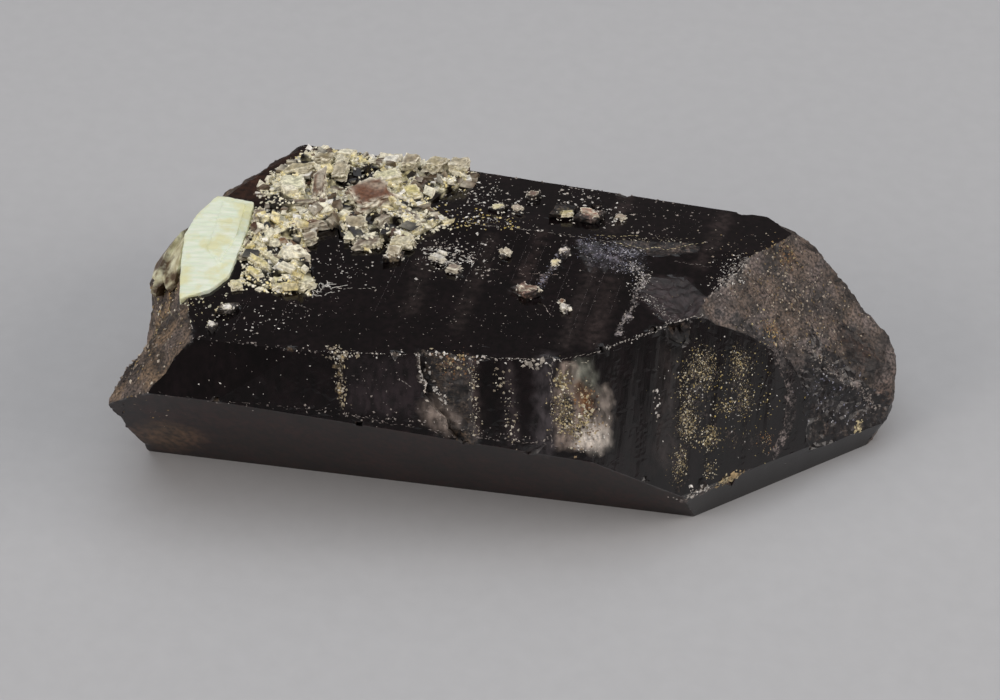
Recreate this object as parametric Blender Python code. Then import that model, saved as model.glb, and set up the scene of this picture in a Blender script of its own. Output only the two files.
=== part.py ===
"""A morion, the black kind of smoky quartz, with feldspar grown on its broken root.

The crystal lies on one prism face. Its c axis runs along X with the tip at +X, its front is -Y
and +Z is up. A crystal face is given by how far its normal is turned about the c axis from
straight up, positive to the front, and by how far the normal leans towards the tip. Quartz
fixes both: neighbouring prism faces are 60 degrees apart, and each rhombohedral face leans
38.2 degrees from the prism face below it. All lengths are in metres.
"""

import math
import random

import bmesh
import bpy
from mathutils import Matrix, Vector, geometry, noise

MM = 0.001

# Angles of quartz, in degrees
PRISM_STEP = 60.0
RHOMB_LEAN = 38.21

# Driving sizes of the crystal
HEIGHT = 31.3 * MM
WIDE_EDGE_Z = 24.0 * MM
WIDE_EDGE_Y = -28.86 * MM
RIDGE_Y = 7.5 * MM
BACK_EDGE = Vector((-10.0, 23.2, 29.1)) * MM
BACK_WAIST_Z = 16.0 * MM
BACK_SLOPE = 8.0
BACK_TAPER = 4.6
TAPER_START = Vector((-22.6, -24.2, 31.3)) * MM
TIP_X = 54.6 * MM
ROOT_X = -54.8 * MM
BLOCK_HALF = 90.0 * MM
OUTLINE_MIDDLE = Vector((-0.085, 1.59, 0.0)) * MM

# Broken surfaces: size of lumps, size of the blocks between cracks, and their relief
LUMP_SIZE = 9.0 * MM
LUMP_RELIEF = 0.8 * MM
CHIP_SIZE = 3.6 * MM
CHIP_RELIEF = 0.7 * MM
ROUGH_STEP = 1.7 * MM

# Fit between touching pieces
GAP = 0.3 * MM

# Crust of small crystals on the top face
CRUST_BED = 0.6 * MM
CRUST_RELIEF = 0.9 * MM
CRUST_STEP = 1.5 * MM
CRUST_GRAINS = 74
CRUST_OUTLINE = [
    (-38.5, 19.0), (-34.5, 22.5), (-26.5, 22.5), (-21.0, 22.5), (-13.5, 21.5), (-11.0, 20.0),
    (-13.5, 16.5), (-16.0, 11.0), (-12.0, 7.5), (-16.0, 3.5), (-20.5, 0.5), (-23.0, -1.0),
    (-26.5, 1.0), (-27.5, 4.0), (-30.5, 3.0), (-31.0, -3.0), (-28.5, -9.0), (-29.0, -12.0),
    (-33.5, -12.5), (-37.5, -11.0), (-38.5, -6.5), (-39.0, 0.0), (-39.0, 7.5), (-39.5, 13.5),
]

# Grains that sit alone on the top faces: place and length in millimetres, turn in degrees
LONE_GRAINS = [
    (-18.0, -2.5, 2.4, 20), (-17.5, 2.0, 2.2, 0), (-11.5, -1.5, 1.9, 60), (-9.0, -3.5, 2.0, 110),
    (2.0, -7.0, 2.8, 150), (-2.5, 1.0, 1.6, 80), (-1.0, 17.0, 2.0, 30), (-2.5, 12.5, 1.5, 100),
    (-5.5, 12.5, 1.9, 170), (4.0, 13.0, 2.9, 8), (8.0, 12.5, 3.1, -6), (12.5, 13.5, 1.2, 40),
    (6.0, 3.0, 1.8, 70), (8.5, 17.0, 1.6, 55), (5.0, 0.5, 1.2, 25), (8.0, -9.5, 1.5, 95),
    (-38.5, -18.0, 2.4, 15), (-39.5, -22.0, 1.6, 75),
]

# Shallow flakes broken out of the faces: rim on the face, then the deepest point, in millimetres
FLAKES = {
    "flake_by_tip": (
        [(17.6, -3.4, 31.3), (18.1, -0.3, 31.3), (23.4, 0.6, 31.3), (27.6, -4.0, 31.3),
         (28.5, -7.5, 31.3), (22.7, -10.9, 31.3), (19.8, -7.0, 31.3)],
        (24.3, -6.6, 30.3),
    ),
    "flake_on_ridge": (
        [(11.1, 7.1, 31.3), (17.1, 7.3, 31.3), (25.3, 9.7, 31.2), (24.9, 6.8, 31.3),
         (18.7, 4.4, 31.3), (13.6, 4.7, 31.3)],
        (18.4, 6.5, 30.7),
    ),
    "flake_on_top": (
        [(7.2, 6.2, 31.3), (10.4, 6.8, 31.3), (12.8, 2.3, 31.3), (12.4, -0.8, 31.3),
         (10.1, -0.8, 31.3), (8.1, 3.1, 31.3)],
        (10.6, 2.6, 30.9),
    ),
    "pit_in_rhomb": (
        [(22.0, -10.1, 31.2), (25.3, -7.7, 30.6), (25.6, -8.6, 28.5), (24.6, -10.1, 27.5),
         (22.7, -10.9, 29.1)],
        (22.9, -8.0, 28.9),
    ),
}
FLAKE_LIFT = 2.0 * MM

# Chips knocked out of the edges: place and size, in millimetres
EDGE_CHIPS = [
    (-28.0, -24.4, 31.3, 1.3), (-13.5, -23.2, 31.3, 1.6), (-1.6, -21.9, 31.3, 1.3),
    (7.5, -20.8, 31.3, 1.8), (14.4, -17.2, 31.3, 1.5), (20.5, -11.6, 31.3, 1.4),
    (-38.0, -28.8, 24.0, 1.4), (-18.0, -27.3, 21.4, 1.5), (-4.0, -26.4, 19.7, 1.3),
    (6.0, -25.7, 18.5, 1.9), (33.2, -14.6, 6.2, 2.6), (29.6, -17.4, 7.6, 1.8),
    (-18.0, 23.9, 28.9, 1.5), (12.0, 20.7, 29.4, 1.6), (30.0, 19.2, 29.7, 1.9),
]

# Feldspar block on the shoulder of the root, seen from above, and its depth
FELDSPAR_OUTLINE = [
    (-46.0, 6.5), (-41.5, 6.0), (-41.0, 0.0), (-41.0, -6.0), (-41.0, -10.5), (-42.5, -14.0),
    (-45.5, -16.0), (-47.0, -8.5), (-48.0, -2.0), (-47.5, 2.0),
]
FELDSPAR_TOP_Z = 32.0 * MM
FELDSPAR_DEPTH = 7.0 * MM

# Feldspar blades on the root beside the block: middle, half length, half width, half height
# in millimetres, then their turn about Z and their tilt about their length, in degrees
BLADES = [
    ((-51.2, 0.6, 25.7), (6.3, 1.6, 2.2), 78.0, 30.0),
    ((-49.9, -3.6, 27.0), (5.6, 1.3, 2.1), 97.0, 44.0),
    ((-51.0, -3.9, 25.2), (4.6, 1.5, 1.9), 74.0, 18.0),
]


def face_normal(turn, lean=0.0):
    """Outward normal of a face turned about the c axis and leaning to the tip, in degrees."""
    a, b = math.radians(turn), math.radians(lean)
    return Vector((math.sin(b), -math.sin(a) * math.cos(b), math.cos(a) * math.cos(b)))


def new_object(name, solid):
    """Put a finished bmesh into the scene as a named object, with every face flat."""
    bmesh.ops.connect_verts_nonplanar(solid, faces=solid.faces[:], angle_limit=1e-3)
    bmesh.ops.recalc_face_normals(solid, faces=solid.faces)
    mesh = bpy.data.meshes.new(name)
    solid.to_mesh(mesh)
    solid.free()
    obj = bpy.data.objects.new(name, mesh)
    bpy.context.scene.collection.objects.link(obj)
    return obj


def as_cutter(obj):
    """Mark an object as a helper that shapes others and isn't part of the thing."""
    obj.hide_render = True
    obj.display_type = "WIRE"
    return obj


def combine(target, other, operation):
    """Add a Boolean between two objects to the target."""
    modifier = target.modifiers.new(f"{operation.lower()} {other.name}", "BOOLEAN")
    modifier.operation = operation
    modifier.solver = "EXACT"
    modifier.object = other
    return modifier


def material(name, colour, roughness):
    """A plain finish: colour in linear light, with alpha."""
    made = bpy.data.materials.new(name)
    made.use_nodes = True
    shader = made.node_tree.nodes["Principled BSDF"]
    shader.inputs["Base Color"].default_value = (*colour, 1.0)
    shader.inputs["Roughness"].default_value = roughness
    shader.inputs["Metallic"].default_value = 0.0
    made.diffuse_color = (*colour, 1.0)
    return made


def cleave(solid, point, normal):
    """Split a solid along a plane and keep what lies behind it."""
    everything = solid.verts[:] + solid.edges[:] + solid.faces[:]
    cut = bmesh.ops.bisect_plane(
        solid, geom=everything, plane_co=point, plane_no=normal, clear_outer=True
    )
    rim = [e for e in cut["geom_cut"] if isinstance(e, bmesh.types.BMEdge)]
    if rim:
        bmesh.ops.contextual_create(solid, geom=rim)


def crystal_faces():
    """Every intact face of the crystal, as (point on it, outward normal)."""
    top_point = Vector((0.0, 0.0, HEIGHT))
    ridge = Vector((0.0, RIDGE_Y, HEIGHT))
    front_edge = Vector((0.0, WIDE_EDGE_Y, WIDE_EDGE_Z))
    rhomb_on_top = Vector((14.0, -17.5, 31.3)) * MM
    back_upper = face_normal(-PRISM_STEP, BACK_TAPER)
    waist = back_waist(back_upper)
    return [
        (top_point, face_normal(0.0)),
        (ridge, face_normal(-BACK_SLOPE)),
        (front_edge, face_normal(PRISM_STEP)),
        (TAPER_START, face_normal(69.0, 6.4)),
        (front_edge, face_normal(2 * PRISM_STEP)),
        (BACK_EDGE, back_upper),
        (waist, face_normal(-2 * PRISM_STEP, 1.0)),
        (Vector(), face_normal(3 * PRISM_STEP)),
        (rhomb_on_top, face_normal(PRISM_STEP, RHOMB_LEAN)),
        (Vector((28.9, -14.3, 0.0)) * MM, face_normal(112.0, RHOMB_LEAN)),
        (Vector((45.4, 14.5, 23.6)) * MM, face_normal(-PRISM_STEP, RHOMB_LEAN)),
        (Vector((47.0, 16.0, 6.0)) * MM, face_normal(-2 * PRISM_STEP, RHOMB_LEAN)),
    ]


def back_waist(back_upper):
    """The point straight behind the origin where the two back prism faces meet."""
    drop = (BACK_EDGE.z - BACK_WAIST_Z) * back_upper.z
    along = BACK_EDGE.x * back_upper.x
    return Vector((0.0, BACK_EDGE.y + (drop + along) / back_upper.y, BACK_WAIST_Z))


def plane_x(point, normal, y, z):
    """Where a plane crosses the line through (y, z) that runs along X."""
    return point.x - (normal.y * (y - point.y) + normal.z * (z - point.z)) / normal.x


def blocky(y, z, seed, size):
    """Relief of a broken surface whose blocks each tilt their own way, from about -1 to 1."""
    distances, centres = noise.voronoi(Vector((seed, y / size, z / size)))
    own = noise.cell_vector(centres[0] * 7.31)
    off_y = y / size - centres[0].y
    off_z = z / size - centres[0].z
    return (own.x - 0.5) * 0.8 + (own.y - 0.5) * off_y * 1.6 + (own.z - 0.5) * off_z * 1.6


def broken_relief(y, z, seed):
    """How far a broken surface stands out of its mean plane: broad lumps and tilted blocks."""
    lumps = noise.fractal(Vector((seed, y / LUMP_SIZE, z / LUMP_SIZE)), 0.8, 2.1, 3)
    return lumps * LUMP_RELIEF + blocky(y, z, seed, CHIP_SIZE) * CHIP_RELIEF


def mix(a, b, share):
    """Value between a and b, for a share held within 0 and 1."""
    share = min(1.0, max(0.0, share))
    return a + (b - a) * share * share * (3.0 - 2.0 * share)


def tip_end(y, z):
    """X of the broken tip at (y, z)."""
    slope = plane_x(Vector((28.0, -2.0, 31.3)) * MM, Vector((0.655, -0.357, 0.666)), y, z)
    rhomb = face_normal(PRISM_STEP, RHOMB_LEAN)
    intact = plane_x(Vector((14.0, -17.5, 31.3)) * MM, rhomb, y, z)
    # The shiny part of the front rhombohedral face ends along a line that leans forward below
    rim_y = -2.6 * MM - mix(5.6 * MM, 0.0, z / (20.0 * MM))
    beyond = mix(0.0, 1.0, (y - rim_y) / (3.0 * MM))
    relief = broken_relief(y, z, 3.7)
    lower = intact + mix(2.0 * MM, -1.5 * MM, beyond) + relief * 0.7 * beyond
    back = plane_x(Vector((38.5, 13.6, 30.4)) * MM, face_normal(-PRISM_STEP, RHOMB_LEAN), y, z)
    # The back rhombohedral face stands further out below a ledge near the top
    back += mix(3.4 * MM, 0.0, (z - 27.3 * MM) / (1.4 * MM)) + relief * 0.4
    across = max(-12.0, (y - 9.0 * MM) / MM)
    nose = TIP_X - 0.04 * MM * across * across - 0.45 * max(0.0, 5.0 * MM - z) + relief * 0.5
    return min(slope + relief, lower, back, nose)


def root_end(y, z):
    """X of the broken root at (y, z)."""
    shoulder = plane_x(Vector((-45.8, 0.0, 31.3)) * MM, Vector((-0.74, 0.0, 0.67)), y, z)
    front = plane_x(Vector((-41.8, -24.3, 31.3)) * MM, Vector((-0.684, -0.27, 0.677)), y, z)
    back = plane_x(Vector((-42.7, 11.9, 31.3)) * MM, Vector((-0.55, 0.33, 0.77)), y, z)
    corner = plane_x(Vector((-44.7, 16.3, 28.0)) * MM, Vector((-0.80, 0.49, 0.34)), y, z)
    foot = ROOT_X + 0.12 * max(0.0, 12.0 * MM - z)
    heel = plane_x(Vector((-53.5, 18.0, 10.0)) * MM, Vector((-0.86, 0.45, -0.20)), y, z)
    # A hollow between the shoulder and the ledge that sticks out in front of it
    off_middle = Vector(((y + 12.5 * MM) / (6.5 * MM), (z - 21.5 * MM) / (5.5 * MM)))
    hollow = 4.2 * MM * math.exp(-off_middle.length_squared)
    relief = broken_relief(y, z, 11.2) * 0.8
    return max(shoulder, front, back, corner, foot, heel) + hollow + relief


def rough_end_cutter(name, end_of, far_x):
    """A closed block whose inner wall follows x = end_of(y, z), to break an end away."""
    solid = bmesh.new()
    low = Vector((-33.0, -2.2)) * MM
    columns = round(70.0 * MM / ROUGH_STEP)
    rows = round(37.0 * MM / ROUGH_STEP)
    wall = []
    for j in range(rows + 1):
        z = low.y + j * ROUGH_STEP
        line = []
        for i in range(columns + 1):
            y = low.x + i * ROUGH_STEP
            line.append(solid.verts.new((end_of(y, z), y, z)))
        wall.append(line)
    for j in range(rows):
        for i in range(columns):
            corners = (wall[j][i], wall[j][i + 1], wall[j + 1][i + 1], wall[j + 1][i])
            solid.faces.new(corners)
    rim = [e for e in solid.edges if e.is_boundary]
    extruded = bmesh.ops.extrude_edge_only(solid, edges=rim)["geom"]
    for v in (g for g in extruded if isinstance(g, bmesh.types.BMVert)):
        v.co.x = far_x
    outer = [e for e in extruded if isinstance(e, bmesh.types.BMEdge) and e.is_boundary]
    bmesh.ops.contextual_create(solid, geom=outer)
    return as_cutter(new_object(name, solid))


def flake_cutter(name, rim, deepest):
    """Takes out a shallow many-sided shell between points on a face and one point inside."""
    solid = bmesh.new()
    middle = sum((Vector(p) for p in rim), Vector()) / len(rim)
    outward = (middle - Vector(deepest)).normalized()
    for p in rim:
        solid.verts.new((Vector(p) + outward * 0.04) * MM)
        solid.verts.new(Vector(p) * MM + outward * FLAKE_LIFT)
    solid.verts.new(Vector(deepest) * MM)
    bmesh.ops.convex_hull(solid, input=solid.verts[:])
    return as_cutter(new_object(name, solid))


def edge_chip_cutter():
    """Takes small broken corners out of the edges between faces."""
    chance = random.Random(8)
    solid = bmesh.new()
    for x, y, z, size in EDGE_CHIPS:
        side = Vector((size * chance.uniform(1.0, 1.6), size * 0.62, size * 0.62)) * MM
        add_grain(solid, Vector((x, y, z)) * MM, side, random_spin(chance, 0.8))
    return as_cutter(new_object("edge_chips", solid))


def front_step_cutter():
    """Takes a thin shell off the tapering front face, deepest at its ragged left wall."""
    wall_x = -10.2 * MM
    wall_depth = 1.1 * MM
    length = 9.5 * MM
    reach = 26.0 * MM
    across = face_normal(69.0, 6.4)
    down = Vector((1.0, 0.0, 0.0)).cross(across).normalized()
    along = across.cross(down).normalized()
    start = TAPER_START + along * (wall_x - TAPER_START.x)
    ragged = [(-6.0, -0.8), (0.0, 0.0), (2.2, 0.4), (3.9, 1.2), (5.4, 0.9), (7.2, 2.6), (8.6, 4.0)]
    ragged += [(10.2, 4.6), (12.0, 6.6), (reach / MM, 9.0)]
    solid = bmesh.new()
    left = [start + down * (d * MM) + along * (a * MM) for d, a in ragged]
    right = [start + down * (d * MM) + along * length for d, a in ragged]
    lifted = across * (6.0 * MM)
    inner = [solid.verts.new(p - across * wall_depth) for p in left]
    inner_right = [solid.verts.new(p + across * (0.3 * MM)) for p in right]
    outer = [solid.verts.new(p + lifted) for p in left]
    outer_right = [solid.verts.new(p + lifted) for p in right]
    for i in range(len(ragged) - 1):
        solid.faces.new((inner[i], inner[i + 1], inner_right[i + 1], inner_right[i]))
        solid.faces.new((outer[i], outer[i + 1], outer_right[i + 1], outer_right[i]))
        solid.faces.new((inner[i], inner[i + 1], outer[i + 1], outer[i]))
        solid.faces.new((inner_right[i], inner_right[i + 1], outer_right[i + 1], outer_right[i]))
    for i in (0, -1):
        solid.faces.new((inner[i], inner_right[i], outer_right[i], outer[i]))
    return as_cutter(new_object("front_step", solid))


def top_surface(y):
    """Height of the top face, or of the slope behind its ridge."""
    return HEIGHT - max(0.0, y - RIDGE_Y) * math.tan(math.radians(BACK_SLOPE))


def grown(outline, distance):
    """An outline given as (x, y) pairs, moved outward all round."""
    points = [Vector(p) for p in outline]
    area = sum(a.x * b.y - a.y * b.x for a, b in zip(points, points[1:] + points[:1]))
    side = 1.0 if area < 0.0 else -1.0
    moved = []
    for i, here in enumerate(points):
        before = (here - points[i - 1]).normalized()
        after = (points[(i + 1) % len(points)] - here).normalized()
        out = Vector((-before.y - after.y, before.x + after.x)) * side
        out.normalize()
        moved.append(here + out * distance)
    return moved


def bed(name, outline, inset, floor_of, roof_of, step):
    """A closed slab over an outline, between two height functions of (x, y)."""
    rim = [Vector(p) for p in outline]
    inner_rim = [Vector(p) for p in grown(outline, -inset)]
    points = list(rim)
    low = Vector((min(p.x for p in rim), min(p.y for p in rim)))
    high = Vector((max(p.x for p in rim), max(p.y for p in rim)))
    jitter = random.Random(5)
    for i in range(1, math.ceil((high.x - low.x) / step)):
        for j in range(1, math.ceil((high.y - low.y) / step)):
            shift = Vector((jitter.uniform(-0.3, 0.3), jitter.uniform(-0.3, 0.3))) * step
            spot = low + Vector((i, j)) * step + shift
            if inside(spot, inner_rim):
                points.append(spot)
    edges = [(i, (i + 1) % len(rim)) for i in range(len(rim))]
    flat = geometry.delaunay_2d_cdt(points, edges, [], 1, 1e-7)
    solid = bmesh.new()
    verts = [solid.verts.new((p.x, p.y, floor_of(p.x, p.y))) for p in flat[0]]
    for triangle in flat[2]:
        solid.faces.new([verts[i] for i in triangle])
    lifted = bmesh.ops.extrude_face_region(solid, geom=solid.faces[:])["geom"]
    for v in (g for g in lifted if isinstance(g, bmesh.types.BMVert)):
        v.co.z = roof_of(v.co.x, v.co.y)
    return new_object(name, solid)


def inside(point, outline):
    """Whether a point lies within a closed outline, by counting crossings."""
    hit = False
    for a, b in zip(outline, outline[1:] + outline[:1]):
        if (a.y > point.y) != (b.y > point.y):
            if point.x < a.x + (point.y - a.y) * (b.x - a.x) / (b.y - a.y):
                hit = not hit
    return hit


def add_grain(solid, place, size, turned, skew=0.35):
    """Add one small rhombic crystal to a mesh, as a leaning box."""
    made = bmesh.ops.create_cube(solid, size=1.0)["verts"]
    lean = Matrix.Identity(4)
    lean[0][1] = skew
    shape = Matrix.Diagonal((*size, 1.0))
    matrix = Matrix.Translation(place) @ turned.to_matrix().to_4x4() @ shape @ lean
    bmesh.ops.transform(solid, matrix=matrix, verts=made)


def spin(tilt, lean, turn):
    """A tilt about X, then a lean about Y, then a turn about Z, in radians."""
    about_x = Matrix.Rotation(tilt, 3, "X")
    about_y = Matrix.Rotation(lean, 3, "Y")
    return (Matrix.Rotation(turn, 3, "Z") @ about_y @ about_x).to_quaternion()


def random_spin(chance, most):
    """A turn of any size about Z, with a tilt of at most that many radians."""
    turn = chance.uniform(0.0, math.tau)
    return spin(chance.uniform(-most, most), chance.uniform(-most, most), turn)


def lone_grains():
    """The grains that sit alone on the top, sunk a third into the face that carries them."""
    chance = random.Random(21)
    solid = bmesh.new()
    for x, y, length, turn in LONE_GRAINS:
        size = Vector((length, length * chance.uniform(0.5, 0.8), length * 0.55)) * MM
        place = Vector((x * MM, y * MM, top_surface(y * MM) + size.z * 0.15))
        add_grain(solid, place, size, spin(chance.uniform(-0.2, 0.2), 0.1, math.radians(turn)))
    return as_cutter(new_object("lone_grains", solid))


def crust_pieces():
    """The crust of small crystals, and the cutter for the hollow that it fills."""
    outline = [Vector(p) * MM for p in CRUST_OUTLINE]

    def floor(x, y):
        return top_surface(y) - CRUST_BED

    def ceiling(x, y):
        return HEIGHT + 5.0 * MM

    def roof(x, y):
        bumps = noise.fractal(Vector((x, y, 0.0)) / (3.2 * MM), 0.7, 2.0, 3)
        return top_surface(y) + CRUST_RELIEF * (0.45 + 0.55 * bumps)

    crust = bed(
        "crust", grown(outline, 0.2 * MM), 0.7 * MM,
        lambda x, y: floor(x, y) - 0.2 * MM, roof, CRUST_STEP,
    )
    chance = random.Random(14)
    grains = bmesh.new()
    room = [Vector(p) for p in grown(outline, -0.6 * MM)]
    low = Vector((min(p.x for p in room), min(p.y for p in room)))
    high = Vector((max(p.x for p in room), max(p.y for p in room)))
    placed = 0
    while placed < CRUST_GRAINS:
        spot = Vector((chance.uniform(low.x, high.x), chance.uniform(low.y, high.y)))
        if not inside(spot, room):
            continue
        length = chance.uniform(1.2, 2.9) * MM
        size = Vector((length, length * chance.uniform(0.45, 0.8), length * 0.4 + 1.4 * MM))
        place = Vector((spot.x, spot.y, roof(spot.x, spot.y) + size.z * 0.5 - 1.2 * MM))
        add_grain(grains, place, size, random_spin(chance, 0.35))
        placed += 1
    joined = combine(crust, as_cutter(new_object("crust_grains", grains)), "UNION")
    joined.use_self = True
    space = bed("crust_space", outline, 0.7 * MM, floor, ceiling, CRUST_STEP)
    combine(crust, as_cutter(space), "INTERSECT")
    wide = grown(outline, GAP * 1.15)
    pocket = bed(
        "crust_pocket", wide, 0.7 * MM,
        lambda x, y: floor(x, y) - GAP, ceiling, CRUST_STEP,
    )
    return crust, as_cutter(pocket)


def feldspar_solid(name, spread):
    """The feldspar block, or with a spread the hollow around it: a cleaved slab in two layers."""
    outline = grown([Vector(p) * MM for p in FELDSPAR_OUTLINE], spread)
    solid = bmesh.new()
    low_z = FELDSPAR_TOP_Z - FELDSPAR_DEPTH - spread
    high_z = FELDSPAR_TOP_Z + (5.0 * MM if spread else 0.0)
    flat = solid.faces.new([solid.verts.new((p.x, p.y, low_z)) for p in outline])
    lifted = bmesh.ops.extrude_face_region(solid, geom=[flat])["geom"]
    for v in (g for g in lifted if isinstance(g, bmesh.types.BMVert)):
        v.co.z = high_z
    if not spread:
        # The block's top dips to the front-left, and its left wall slopes under
        dip = Vector((-46.0, -15.0, 31.5)) * MM
        cleave(solid, dip, Vector((-0.16, -0.02, 0.99)))
        cleave(solid, Vector((-48.6, 0.0, 28.0)) * MM, Vector((-0.94, -0.1, -0.32)))
    return new_object(name, solid)


def feldspar_step():
    """A thin upper layer on the feldspar block, left where the rest of it cleaved off."""
    layer = [(-44.9, 5.3), (-42.3, 4.9), (-41.9, -2.2), (-42.6, -8.4), (-44.6, -5.6)]
    solid = bmesh.new()
    flat = solid.faces.new([solid.verts.new((x * MM, y * MM, 30.0 * MM)) for x, y in layer])
    lifted = bmesh.ops.extrude_face_region(solid, geom=[flat])["geom"]
    for v in (g for g in lifted if isinstance(g, bmesh.types.BMVert)):
        v.co.z = 32.25 * MM + 0.05 * (v.co.x + 43.0 * MM)
    return as_cutter(new_object("feldspar_layer", solid))


def blade(name, middle, half, turn, tilt, spread):
    """One feldspar blade: a long plate that thins towards both ends."""
    solid = bmesh.new()
    sections = [(-1.0, 0.35, 0.5), (-0.45, 0.9, 1.0), (0.3, 1.0, 0.9), (1.0, 0.3, 0.4)]
    rings = []
    for along, wide, high in sections:
        corners = [(-1, -1), (1, -0.8), (0.8, 1), (-0.7, 0.9)]
        ring = []
        for side, up in corners:
            x = along * (half[0] * MM + spread)
            y = side * (wide * half[1] * MM + spread)
            z = up * (high * half[2] * MM + spread)
            ring.append(solid.verts.new((x, y, z)))
        rings.append(ring)
    for a, b in zip(rings, rings[1:]):
        for i in range(4):
            solid.faces.new((a[i], a[(i + 1) % 4], b[(i + 1) % 4], b[i]))
    solid.faces.new(rings[0])
    solid.faces.new(rings[-1])
    turned = Matrix.Rotation(math.radians(turn), 4, "Z") @ Matrix.Rotation(math.radians(tilt), 4, "X")
    solid.transform(Matrix.Translation(Vector(middle) * MM) @ turned)
    return new_object(name, solid)


def blade_pieces():
    """The cluster of blades as one piece, and the cutters for the hollows they stand in."""
    cluster = blade("feldspar_blades", *BLADES[0], 0.0)
    for n, shape in enumerate(BLADES[1:], 2):
        combine(cluster, as_cutter(blade(f"blade_{n}", *shape, 0.0)), "UNION")
    hollows = []
    for n, shape in enumerate(BLADES, 1):
        hollows.append(as_cutter(blade(f"blade_hollow_{n}", *shape, GAP)))
    return cluster, hollows


def morion_crystal():
    """The quartz crystal: cleaved to its faces, then broken at both ends and chipped."""
    solid = bmesh.new()
    bmesh.ops.create_cube(solid, size=2 * BLOCK_HALF)
    for point, normal in crystal_faces():
        cleave(solid, point, normal)
    crystal = new_object("morion_crystal", solid)
    combine(crystal, rough_end_cutter("tip_break", tip_end, 75.0 * MM), "DIFFERENCE")
    combine(crystal, rough_end_cutter("root_break", root_end, -BLOCK_HALF - 5.0 * MM), "DIFFERENCE")
    chips = [flake_cutter(name, rim, deepest) for name, (rim, deepest) in FLAKES.items()]
    for chip in (*chips, front_step_cutter(), edge_chip_cutter()):
        combine(crystal, chip, "DIFFERENCE")
    return crystal


def build():
    """Make every piece and move the whole so that the origin is under its middle."""
    for old in list(bpy.data.objects):
        bpy.data.objects.remove(old)
    crystal = morion_crystal()
    crust, crust_pocket = crust_pieces()
    feldspar = feldspar_solid("feldspar_block", 0.0)
    combine(feldspar, feldspar_step(), "UNION")
    feldspar_pocket = as_cutter(feldspar_solid("feldspar_pocket", GAP))
    blades, hollows = blade_pieces()
    combine(crystal, lone_grains(), "UNION")
    for cutter in (crust_pocket, feldspar_pocket, *hollows):
        combine(crystal, cutter, "DIFFERENCE")
    combine(blades, feldspar_pocket, "DIFFERENCE")
    finishes = {
        crystal: material("smoky quartz", (0.012, 0.009, 0.009), 0.12),
        crust: material("mixed crust", (0.45, 0.40, 0.28), 0.7),
        feldspar: material("pale feldspar", (0.68, 0.74, 0.60), 0.45),
        blades: material("cream feldspar", (0.66, 0.60, 0.42), 0.5),
    }
    for obj, finish in finishes.items():
        obj.data.materials.append(finish)
    for obj in bpy.data.objects:
        obj.location -= OUTLINE_MIDDLE


build()
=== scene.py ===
"""A morion crystal, black smoky quartz with feldspar and a crust of small grains, on a pale studio sheet.

Features are given in millimetres in the crystal's own frame: its length runs along X with the tip at +X, the
side seen from the front faces -Y, and it lies on Z = 0. OUTLINE_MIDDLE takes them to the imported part's frame.
"""

import logging
import math
from dataclasses import dataclass, field
from enum import Enum

import bmesh
import bpy
import numpy as np
from mathutils import Matrix, Vector, noise
from mathutils.bvhtree import BVHTree


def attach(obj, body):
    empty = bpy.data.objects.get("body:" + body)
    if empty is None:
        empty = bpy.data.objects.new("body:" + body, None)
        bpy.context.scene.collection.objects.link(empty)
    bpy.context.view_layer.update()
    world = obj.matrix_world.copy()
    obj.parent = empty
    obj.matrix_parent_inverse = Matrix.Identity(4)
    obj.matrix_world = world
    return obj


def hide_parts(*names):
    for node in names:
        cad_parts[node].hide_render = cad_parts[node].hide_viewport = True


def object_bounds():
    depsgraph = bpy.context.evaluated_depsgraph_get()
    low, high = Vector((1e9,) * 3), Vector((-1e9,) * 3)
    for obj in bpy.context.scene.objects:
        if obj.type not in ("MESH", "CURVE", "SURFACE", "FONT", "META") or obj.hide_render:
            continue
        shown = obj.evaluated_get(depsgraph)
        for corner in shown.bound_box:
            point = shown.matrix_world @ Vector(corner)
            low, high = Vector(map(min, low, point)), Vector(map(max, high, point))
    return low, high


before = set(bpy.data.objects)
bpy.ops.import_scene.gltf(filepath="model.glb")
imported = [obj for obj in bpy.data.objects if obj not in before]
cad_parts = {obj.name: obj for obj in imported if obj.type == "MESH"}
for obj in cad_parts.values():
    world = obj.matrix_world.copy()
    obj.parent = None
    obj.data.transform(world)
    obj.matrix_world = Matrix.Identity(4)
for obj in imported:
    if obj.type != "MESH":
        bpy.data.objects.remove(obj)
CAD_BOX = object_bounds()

LOG = logging.getLogger("morion")
MM = 0.001
BODY = "root"
OUTLINE_MIDDLE = Vector((-0.085, 1.59, 0.0))
PRISM_STEP = 60.0
RHOMB_LEAN = 38.21
TOP_Z = 31.3
ABOVE_ALL = 45.0

Point = tuple[float, float, float]


def linear(hex_code: str) -> tuple[float, float, float, float]:
    """Turns an sRGB colour into the linear values that shaders take.

    Args:
        hex_code: Six hex digits with a leading hash sign.

    Returns:
        Linear red, green, blue and an alpha of one.
    """
    parts = [int(hex_code[i : i + 2], 16) / 255 for i in (1, 3, 5)]
    lit = [c / 12.92 if c <= 0.04045 else ((c + 0.055) / 1.055) ** 2.4 for c in parts]
    return (*lit, 1.0)


def placed(point: Point | Vector) -> Vector:
    """Returns a point of the crystal's own frame, in millimetres, as metres in the part's frame."""
    return (Vector(point) - OUTLINE_MIDDLE) * MM


def per_metre(size_mm: float) -> float:
    """Returns the texture scale that draws one feature in the given number of millimetres."""
    return 1000.0 / size_mm


def facing(turn: float, lean: float = 0.0) -> tuple[float, float, float]:
    """Works out which way a quartz face looks.

    Args:
        turn: Degrees round the crystal's length, from the top towards the front.
        lean: Degrees that the face leans towards the tip.

    Returns:
        The unit normal.
    """
    around, up = math.radians(turn), math.radians(lean)
    return (
        math.sin(up),
        -math.sin(around) * math.cos(up),
        math.cos(around) * math.cos(up),
    )


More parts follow.
